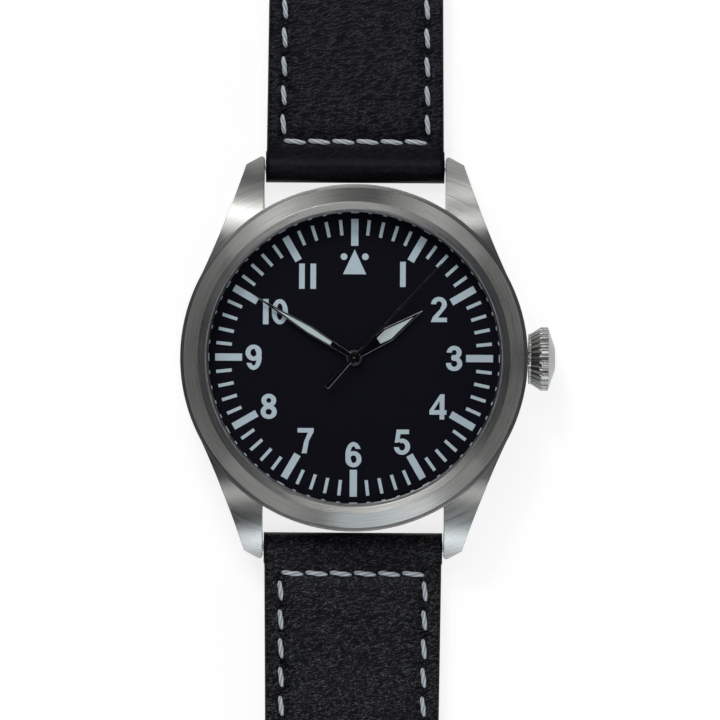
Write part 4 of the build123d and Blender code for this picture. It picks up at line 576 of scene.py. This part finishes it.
edge_distances = np.array([0, 0.03, 0.09, 0.18, 0.3, 0.44, 0.6, 0.85, 1.1, 1.35, 1.55, 1.75, 1.95,
                           2.15, 2.35, 2.6, 2.9, 3.3, 3.75, 4.3, 5.0, 5.9, 6.9, 8.0, 9.2, 10.75])
right_shares = 1 - edge_distances / neck_half
top_shares = np.concatenate([-right_shares[:-1], right_shares[::-1]])
bottom_shares = np.linspace(1, -1, 11)


def stations(start, end, step, dense):
    """Places along the strap: evenly spaced, with more where it bends round a bar. None lies
    past the ends."""
    places = [np.arange(start, end, step), [end]]
    for centre, radius, way in dense:
        places.append(centre + way * radius * np.sin(np.linspace(0, np.pi / 2, 14)))
    return np.unique(np.round(np.clip(np.concatenate(places), start, end), 4))


def upper_bottom(y, which):
    """The under face of an upper: round the bar, flat to the fold's tail, then on the lining."""
    fold = np.where(y < bar_y, bar_z - rounded_end(y, bar_y, end_r), low_z)
    if which == "6":
        return np.where(y < fold_tail_y, fold, lining_z)
    on_lining = np.interp(y, [dome_y, rise_end_y], [lining_z, lining_z + raised_z])
    end = buckle_z - rounded_end(-y, -buckle_y, buckle_r)
    on_lining = np.where(y > buckle_y - buckle_r, end, on_lining)
    return np.where(y < fold_tail_y, fold, on_lining)


def upper_rings(which):
    """Rings of an upper from the bar to its far end. The first ring stands half a micrometre
    in, and the top stays a hair above the bottom, so that each end closes with a real face."""
    first_step, least_height = 0.0005, 0.02
    start = bar_y - end_r + first_step
    end, far_bend = (buckle_y + buckle_r, (buckle_y, buckle_r, 1)) if which == "12" \
        else (tip_y, (tip_y - tip_r, tip_r, 1))
    y = stations(start, end, 0.26, ((bar_y, end_r, -1), far_bend))
    half = plan_half(y, which)[:, None]
    y = y[:, None] * np.ones_like(top_shares)
    x = half * top_shares
    top = leather_top(x, y, half, which)
    bottom_y = y[:, :1] * np.ones_like(bottom_shares)
    bottom = upper_bottom(bottom_y, which)
    if which == "12":
        end_top = buckle_z + rounded_end(-y, -buckle_y, buckle_r)
        top = np.where(y > buckle_y, np.minimum(top, end_top), top)
    top = np.maximum(top, bottom[:, :1] + least_height)
    under_x = half * bottom_shares
    over = np.stack([x, y, top], axis=-1)
    under = np.stack([under_x, bottom_y, bottom], axis=-1)
    return np.concatenate([over, under], axis=1)


# %% [markdown]
# ## Leather
# The upper is black calf with an oily blue cast. Over the dome its grain runs in fine creases
# across the strap, and the fold at the lugs is smoother. Cells of a Voronoi pattern would look
# like scales. The creases here are level lines of a noise that is drawn out sideways and bent by
# another, with short fine dashes on top of them. The crests and a scatter of specks are painted
# highlights: the colour is lightened there, as if a lamp caught them.


# %% Leather
def leather(name, colour, crest_highlight, cell=(700.0, 2800.0, 1500.0), thin=0.06, crease=1.0,
            highlight_specks=0.25, roughness=0.4, smooth_until=0.0, fold_share=0.2):
    """Creased leather with painted highlights. The crests are thin level lines of a noise that is
    drawn out sideways, broken up by short dashes of a finer noise; over the fold at the lugs they
    are
    fainter. The crests and specks of the finer noise lighten the colour towards the crest colour:
    painted highlights of lamp light on the grain."""
    slant, bend_scale, bend_reach, crest_level = radians(-14), 500.0, 0.0006, 0.52
    material, tree, shader = new_material(name, colour, roughness)
    place = object_place(tree)
    turned = add_node(tree, "VectorRotate", {"Vector": place, "Angle": slant},
                      rotation_type="Z_AXIS").outputs[0]
    bent = add_node(tree, "TexNoise", {"Vector": turned, "Scale": bend_scale, "Detail": 2.0})
    push = stretched(tree, bent.outputs["Color"], (bend_reach,) * 3)
    moved = add_node(tree, "VectorMath", {0: turned, 1: push}, operation="ADD").outputs[0]
    folds = noise(tree, stretched(tree, moved, cell), 1.0, detail=3.0, rough=0.55)
    off_level = add_node(tree, "Math", {0: folds, 1: crest_level},
                         operation="SUBTRACT").outputs[0]
    off_level = add_node(tree, "Math", {0: off_level}, operation="ABSOLUTE").outputs[0]
    ridge = spread(tree, off_level, 1.0, 0.0, 0.0, thin)
    dashes = noise(tree, stretched(tree, turned, (3600.0, 9000.0, 6000.0)), 1.0, detail=2.0)
    fine = spread(tree, dashes, 0.0, 1.0, 0.48, 0.68)
    from_dial = add_node(tree, "SeparateXYZ", {0: place}).outputs["Y"]
    from_dial = add_node(tree, "Math", {0: from_dial}, operation="ABSOLUTE").outputs[0]
    flat = spread(tree, from_dial, fold_share, 1.0, smooth_until - 3 * mm, smooth_until)
    broken = spread(tree, fine, 0.3, 1.0)
    highlight_crests = add_node(tree, "Math", {0: ridge, 1: broken}, operation="MULTIPLY").outputs[0]
    highlight_crests = add_node(tree, "Math", {0: highlight_crests, 1: flat}, operation="MULTIPLY").outputs[0]
    # Painted highlight: the specks and the crests lighten the leather's colour towards the crest
    # colour.
    painted_highlight = add_node(tree, "Math", {0: fine, 1: highlight_specks, 2: highlight_crests},
                   operation="MULTIPLY_ADD").outputs[0]
    tree.links.new(between(tree, painted_highlight, colour, crest_highlight), shader.inputs["Base Color"])
    tree.links.new(spread(tree, fine, roughness + 0.06, roughness - 0.08),
                   shader.inputs["Roughness"])
    relief = add_node(tree, "Math", {0: folds, 1: flat}, operation="MULTIPLY").outputs[0]
    grain = add_node(tree, "Math", {0: fine, 1: 0.15, 2: relief}, operation="MULTIPLY_ADD")
    bump(tree, shader, grain.outputs[0], crease, 0.12 * mm)
    shader.inputs["Specular IOR Level"].default_value = 0.12
    return material


# The 12 o'clock half: long, soft creases with faint painted highlights. The 6 o'clock half: finer
# creases with brighter painted highlights.
calf_12 = leather("calf_12", (0.0008, 0.0011, 0.0036), (0.082, 0.085, 0.1),
                  highlight_specks=0.05, smooth_until=28 * mm)
calf_6 = leather("calf_6", (0.0008, 0.0011, 0.0028), (0.22, 0.226, 0.24), highlight_specks=0.045,
                 cell=(1100.0, 3300.0, 2000.0), thin=0.03, smooth_until=27 * mm,
                 fold_share=0.9)
# The lining's crests carry a faint painted highlight as well.
lining_leather = leather("lining_leather", (0.014, 0.013, 0.013), (0.04, 0.036, 0.034),
                         cell=(1800.0, 1800.0, 1800.0), crease=0.3, roughness=0.72)
print("leathers:", calf_12.name, calf_6.name, lining_leather.name)

# %% [markdown]
# ## Holes and slots
# The 6 o'clock half has seven holes for the tongue, and the 12 o'clock half a slot where the
# tongue turns. They could be left out of the rings of points, but then the grid would have to
# bend round them. A boolean cuts them cleanly, and its result is kept as a plain mesh.


# %% Cut holes and slots
hole_radius, hole_sides, hole_pitch, hole_count = 0.95, 40, 6.5, 7
hole_ys = -(hole_start_y + np.arange(hole_count) * hole_pitch)
slot_half, slot_low_y, slot_high_y = 1.6, buckle_y - 4.6, buckle_y + 4
cut_low, cut_high = -1, 8


def drilled(mesh, cutters):
    """Subtract closed cutter meshes from a mesh, with an exact boolean."""
    body = bpy.data.objects.new("drill_body", mesh)
    bpy.context.scene.collection.objects.link(body)
    tools = []
    for cutter in cutters:
        tool = bpy.data.objects.new("drill_tool", cutter)
        bpy.context.scene.collection.objects.link(tool)
        cut = body.modifiers.new("cut", "BOOLEAN")
        cut.operation, cut.solver, cut.object = "DIFFERENCE", "EXACT", tool
        tools.append(tool)
    bpy.context.view_layer.update()
    graph = bpy.context.evaluated_depsgraph_get()
    result = bpy.data.meshes.new_from_object(body.evaluated_get(graph))
    for done in [body, *tools]:
        bpy.data.objects.remove(done)
    return result


def upright(outline):
    """An upright prism over an outline, tall enough to cut right through the strap."""
    rings = [np.column_stack([outline, np.full(len(outline), z)]) for z in (cut_low, cut_high)]
    return ring_mesh("cutter", np.stack(rings))


def cut_shapes(which):
    """What is cut out of a strap half: the tongue's slot at 12 o'clock, the holes at 6."""
    if which == "12":
        return [upright(np.array([(-slot_half, slot_low_y), (slot_half, slot_low_y),
                                  (slot_half, slot_high_y), (-slot_half, slot_high_y)]))]
    turn = np.linspace(0, 2 * np.pi, hole_sides, endpoint=False)
    circle = hole_radius * np.stack([np.cos(turn), np.sin(turn)], axis=-1)
    return [upright(circle + (0, y)) for y in hole_ys]


# %% Uppers
for strap_half, calf in (("12", calf_12), ("6", calf_6)):
    upper = ring_mesh("upper_" + strap_half, mirrored(upper_rings(strap_half), strap_half))
    upper = tidy_mesh(drilled(upper, cut_shapes(strap_half)))
    strap = "strap_" + strap_half
    add_piece(strap + "_leather", upper, strap, calf, strap + "_upper")


# %% [markdown]
# ## Linings
# A lining is a thin flat leather under the upper. It shows only at the strap's edge and from
# below, so a band with softly rounded lower edges is enough.


# %% Linings
def lining_rings(which):
    """Rings of a lining: flat top and bottom, with the lower edges rounded."""
    start = fold_tail_y + 0.05
    end = buckle_y - buckle_r if which == "12" else tip_y
    y = stations(start, end, 1.0, () if which == "12" else ((tip_y - tip_r, tip_r, 1),))
    rise = np.interp(y, [dome_y, rise_end_y], [0, raised_z]) if which == "12" else 0 * y
    half = plan_half(y, which)
    inward = np.array([0, 0, 0.06, 0.2, 0.4, 2.0, 9.0])
    height = np.array([1.0, 0.4, 0.2, 0.06, 0.0, 0.0, 0.0])
    shares = 1 - inward / neck_half
    ring_share = np.concatenate([shares, -shares[::-1]])
    ring_height = np.concatenate([height, height[::-1]])
    x = half[:, None] * ring_share
    z = low_z + rise[:, None] + ring_height
    return np.stack([x, y[:, None] * np.ones_like(x), z], axis=-1)


for strap_half in ("12", "6"):
    under = ring_mesh("under_" + strap_half, mirrored(lining_rings(strap_half), strap_half))
    under = tidy_mesh(drilled(under, cut_shapes(strap_half)))
    strap = "strap_" + strap_half
    add_piece(strap + "_under", under, strap, lining_leather, strap + "_lining")

# %% [markdown]
# ## Thread
# A stitch is a short length of waxed cord, laid up from three strands. Its ends dive into the
# leather. One stitch is a tube along a bowed line whose radius swells in the middle, with three
# shallow grooves that wind along it. All stitches are worked out in one array.

# %% Thread
# The colour is darker in the grooves between the strands and lighter on their crowns. This is
# painted shade, read from the strand attribute, over a noise of fibres.
thread_material, thread_tree, thread_shader = new_material("waxed_thread", (0.5, 0.54, 0.58), 0.7)
thread_place = object_place(thread_tree)
fibres = noise(thread_tree, thread_place, 3500.0, detail=4.0, rough=0.7)
strand_shade = add_node(thread_tree, "Attribute", attribute_name="strand").outputs["Fac"]
cord = add_node(thread_tree, "Math", {0: fibres, 1: 0.7, 2: strand_shade}, operation="MULTIPLY_ADD")
thread_tree.links.new(between(thread_tree, spread(thread_tree, cord.outputs[0], 0, 1, 0.3, 1.35),
                              (0.2, 0.23, 0.27), (0.74, 0.8, 0.84)),
                      thread_shader.inputs["Base Color"])
bump(thread_tree, thread_shader, cord.outputs[0], 0.6, 0.035 * mm)
thread_shader.inputs["Sheen Weight"].default_value = 0.15

thread_r, thread_end_r, strand_depth, flatness = 0.19, 0.015, 0.5, 0.75
arch_top, dive, stitch_slant = 0.16, 0.3, 0.14
stitch_along = np.linspace(-1, 1, 25)
stitch_angle = np.linspace(0, 2 * np.pi, 18, endpoint=False)
strand_crown = np.abs(np.cos(1.5 * stitch_angle[None] - stitch_along[:, None] * 3.2))


def stitches(which):
    """Rings of every stitch. Radius: the thread's own, which runs out at both ends, times 1
    plus half the |cos| of the turning angle for its three strands. Height: the leather's top
    plus a low arch that dives in at the ends."""
    places = stitch_places(which)
    along, angle = stitch_along, stitch_angle
    swell = thread_r * (1 - np.abs(along)**3.5)**0.5 + thread_end_r
    radius = swell[:, None] * (1 + strand_depth * strand_crown)
    side = radius * np.cos(angle)
    lift = radius * np.sin(angle) * flatness
    arch = arch_top - dive * np.abs(along)**3
    lean = (stitch_slant if which == "6" else -stitch_slant) * along
    reach = places[:, 3][:, None] / 2 * along
    across = places[:, 2][:, None]
    line_x = places[:, 0][:, None] + across * reach + (1 - across) * lean
    line_y = places[:, 1][:, None] + (1 - across) * reach + across * lean
    centre_x, centre_y = places[:, :1], places[:, 1:2]
    base = leather_top(centre_x, centre_y, seam_half(centre_y), which) \
        + dimples(centre_x, centre_y, which)
    x = line_x[..., None] + (1 - across[..., None]) * side
    y = line_y[..., None] + across[..., None] * side
    z = base[..., None] + arch[None, :, None] + lift[None]
    return np.stack([x, y, z * np.ones_like(x)], axis=-1)


def thread_mesh(name, which):
    """One mesh of all the stitches of a strap half, each closed at both ends."""
    tubes = mirrored(stitches(which), which)
    count, rows, columns = tubes.shape[:3]
    index = np.arange(rows * columns).reshape(rows, columns)
    ahead = np.roll(index, -1, axis=1)
    quads = np.stack([index[:-1], ahead[:-1], ahead[1:], index[1:]], axis=-1).reshape(-1, 4)
    shift = np.arange(count)[:, None, None] * rows * columns
    faces = (quads[None] + shift).reshape(-1, 4).tolist()
    faces += (index[0][::-1] + shift[:, 0]).tolist() + (index[-1] + shift[:, 0]).tolist()
    mesh = bpy.data.meshes.new(name)
    mesh.from_pydata((tubes.reshape(-1, 3) * mm).tolist(), [], faces)
    # The strand attribute is 1 on each strand's crown and 0 in its groove; the material paints
    # shade into the grooves from it.
    strand = mesh.attributes.new("strand", "FLOAT", "POINT")
    strand.data.foreach_set("value", np.tile(strand_crown.ravel(), count).astype(np.float32))
    return tidy_mesh(mesh, 60)


for strap_half in ("12", "6"):
    thread_name = "thread_" + strap_half
    add_piece(thread_name, thread_mesh(thread_name, strap_half), "strap_" + strap_half,
              thread_material, "stitching_" + strap_half)

# %% [markdown]
# ## Keepers
# The two loops are cut from the same leather. Each is a flat band carried round a rounded
# rectangle, slightly crowned on its outside.


# %% Keepers
def keeper_mesh(name, y, low, high):
    """A band carried round a rounded rectangle. The path gives a point and its outward
    direction, and the band's section is added along that direction and along Y."""
    half, inner_r, thickness, length = neck_half, 0.05, 0.8, 5.0
    turn = np.linspace(0, np.pi / 2, 7)
    corners = [(half, high, 0), (-half, high, 1), (-half, low, 2), (half, low, 3)]
    points, normals = [], []
    for x, z, quarter in corners:
        angle = turn + quarter * np.pi / 2
        inset = inner_r * np.array([np.sign(x), np.sign(z - (low + high) / 2)])
        way = np.stack([np.cos(angle), np.sin(angle)], axis=-1)
        points.append(np.array([x, z]) - inset + way * inner_r)
        normals.append(way)
    points, normals = np.vstack(points), np.vstack(normals)
    across = np.array([-1, -0.97, -0.85, -0.5, 0, 0.5, 0.85, 0.97, 1, 1, 0.5, 0, -0.5, -1])
    out = np.array([0.25, 0.6, 0.86, 0.97, 1.0, 0.97, 0.86, 0.6, 0.25, 0, 0, 0, 0, 0])
    xz = points[:, None] + normals[:, None] * (out * thickness)[None, :, None]
    ys = y + across * length / 2
    rings = np.stack([xz[..., 0], ys[None] * np.ones_like(xz[..., 0]), xz[..., 1]], axis=-1)
    rows, columns = rings.shape[:2]
    index = np.arange(rows * columns).reshape(rows, columns)
    down, ahead = np.roll(index, -1, axis=0), np.roll(index, -1, axis=1)
    both = np.roll(down, -1, axis=1)
    faces = np.stack([index, ahead, both, down], axis=-1).reshape(-1, 4).tolist()
    mesh = bpy.data.meshes.new(name)
    mesh.from_pydata((rings.reshape(-1, 3) * mm).tolist(), [], faces)
    return tidy_mesh(mesh)


keeper_room = 2.8
for keeper_node, keeper_body, keeper_y, keeper_low in (
        ("fixed_keeper", "strap_12", buckle_y - 8, 3.2),
        ("free_keeper", "free_keeper", buckle_y - 18, 1.25)):
    keeper_high = float(top_line(np.array([keeper_y]), "12")[0]) + keeper_room
    keeper_name = keeper_node + "_leather"
    add_piece(keeper_name, keeper_mesh(keeper_name, keeper_y, keeper_low, keeper_high),
              keeper_body, calf_12, keeper_node)

# %% [markdown]
# ## Floor, cards and lights
# The watch lies on a plain white table, which was cut out to pure white in the photograph. More
# lamps would reach that white too, but they would wash out the watch. So the table is a mid grey
# that takes the watch's shadow, and the rest of its white is a glow that only the camera,
# mirrors and glass see. Two dark cards stand left and right of the watch, out of the picture, as
# a photographer sets them up: they give the steel its dark sides at 3 and 9 o'clock.

# %% Floor and backdrop
floor_material, floor_tree, floor_shader = new_material("floor_white", (0.36, 0.36, 0.36), 0.9)
floor_shader.inputs["Specular IOR Level"].default_value = 0.0
paper = noise(floor_tree, object_place(floor_tree), 900.0)
floor_tree.links.new(between(floor_tree, paper, (0.35, 0.35, 0.35), (0.37, 0.37, 0.37)),
                     floor_shader.inputs["Base Color"])
path = add_node(floor_tree, "LightPath").outputs
seen = add_node(floor_tree, "Math", {0: path["Is Camera Ray"], 1: path["Is Glossy Ray"]},
                operation="MAXIMUM").outputs[0]
seen = add_node(floor_tree, "Math", {0: seen, 1: path["Is Transmission Ray"]},
                operation="MAXIMUM").outputs[0]
floor_glow = 0.8
glow = add_node(floor_tree, "Math", {0: seen, 1: floor_glow}, operation="MULTIPLY").outputs[0]
floor_shader.inputs["Emission Color"].default_value = (1, 1, 1, 1)
floor_tree.links.new(glow, floor_shader.inputs["Emission Strength"])


def stage_mesh(name, points, faces, material):
    """A flat stage piece from points in metres."""
    mesh = bpy.data.meshes.new(name)
    mesh.from_pydata(points, [], faces)
    mesh.materials.append(material)
    made = bpy.data.objects.new(name, mesh)
    bpy.context.scene.collection.objects.link(made)
    return made


floor_half = 5.0
floor_z = -0.02 * mm
stage_mesh("floor", [(-floor_half, -floor_half, floor_z), (floor_half, -floor_half, floor_z),
                     (floor_half, floor_half, floor_z), (-floor_half, floor_half, floor_z)],
           [(0, 1, 2, 3)], floor_material)

# %% Dark cards
card_x, card_half, card_high = 0.06, 0.05, 0.05
card_material, card_tree, card_shader = new_material("card_black", (0.02, 0.02, 0.02), 0.9)
card_tree.links.new(spread(card_tree, noise(card_tree, object_place(card_tree), 200.0), 0.85, 0.95),
                    card_shader.inputs["Roughness"])
for card_name, x in (("card_left", -card_x), ("card_right", card_x)):
    card = stage_mesh(card_name, [(x, -card_half, 0.0), (x, card_half, 0.0),
                                  (x, card_half, card_high), (x, -card_half, card_high)],
                      [(0, 1, 2, 3)], card_material)
    card.visible_camera = False
    card.visible_shadow = False

# %% [markdown]
# Each lamp is a soft box, named for the hour it shines from. The two boxes over 12 and 6 o'clock
# and the long ones at 3 and 9 light the whole watch. The strips and the spot are smaller. A
# brushed ring shows a lamp as a spoke of light on the side where it stands, so each of them sets
# how bright the bezel and one lug are on its side.


# %% Lamps
def soft_box(name, place, target, size, power, colour=(1, 1, 1)):
    """A rectangular lamp that faces a point."""
    lamp = bpy.data.lights.new(name, "AREA")
    lamp.shape = "RECTANGLE"
    lamp.size, lamp.size_y = size
    lamp.energy = power
    lamp.color = colour
    made = bpy.data.objects.new(name, lamp)
    made.location = place
    way = np.array(target, float) - np.array(place, float)
    made.rotation_euler = Vector(way).to_track_quat("-Z", "Y").to_euler()
    made.visible_camera = False
    bpy.context.scene.collection.objects.link(made)


soft_box("box_12", (-0.04, 0.28, 0.6), (0, 0, 0), (0.35, 0.14), 0.65)
soft_box("box_6", (0.03, -0.25, 0.61), (0, 0, 0), (0.35, 0.13), 0.36)
soft_box("box_3", (0.6, 0.0, 0.28), (0, 0, 0), (0.8, 0.22), 0.75)
soft_box("box_9", (-0.6, 0.0, 0.28), (0, 0, 0), (0.8, 0.22), 0.3)
soft_box("side_3", (0.58, 0.0, 0.34), (0, 0, 0.01), (0.7, 0.1), 0.3)
soft_box("strip_12", (-0.14, 0.6, 0.36), (0, 0, 0.01), (0.3, 0.14), 0.16)
soft_box("strip_11", (-0.26, 0.45, 0.12), (0, 0, 0.01), (0.12, 0.22), 0.13)
soft_box("strip_10", (-0.26, 0.42, 0.38), (0, 0, 0.01), (0.2, 0.2), 0.4)
soft_box("spot_11", (-0.13, 0.48, 0.5), (0, 0, 0.01), (0.12, 0.12), 0.95)
soft_box("strip_1", (0.24, 0.42, 0.12), (0, 0, 0.01), (0.1, 0.2), 0.05)
soft_box("strip_5", (0.1, -0.5, 0.12), (0, 0, 0.01), (0.35, 0.2), 0.74, (0.85, 0.93, 1.0))

world = bpy.data.worlds.new("studio")
world.use_nodes = True
world.node_tree.nodes["Background"].inputs["Color"].default_value = (0.8, 0.85, 1.0, 1)
world.node_tree.nodes["Background"].inputs["Strength"].default_value = 0.08
bpy.context.scene.world = world
bpy.context.scene.view_settings.view_transform = "Standard"
print("lamps:", len(bpy.data.lights))
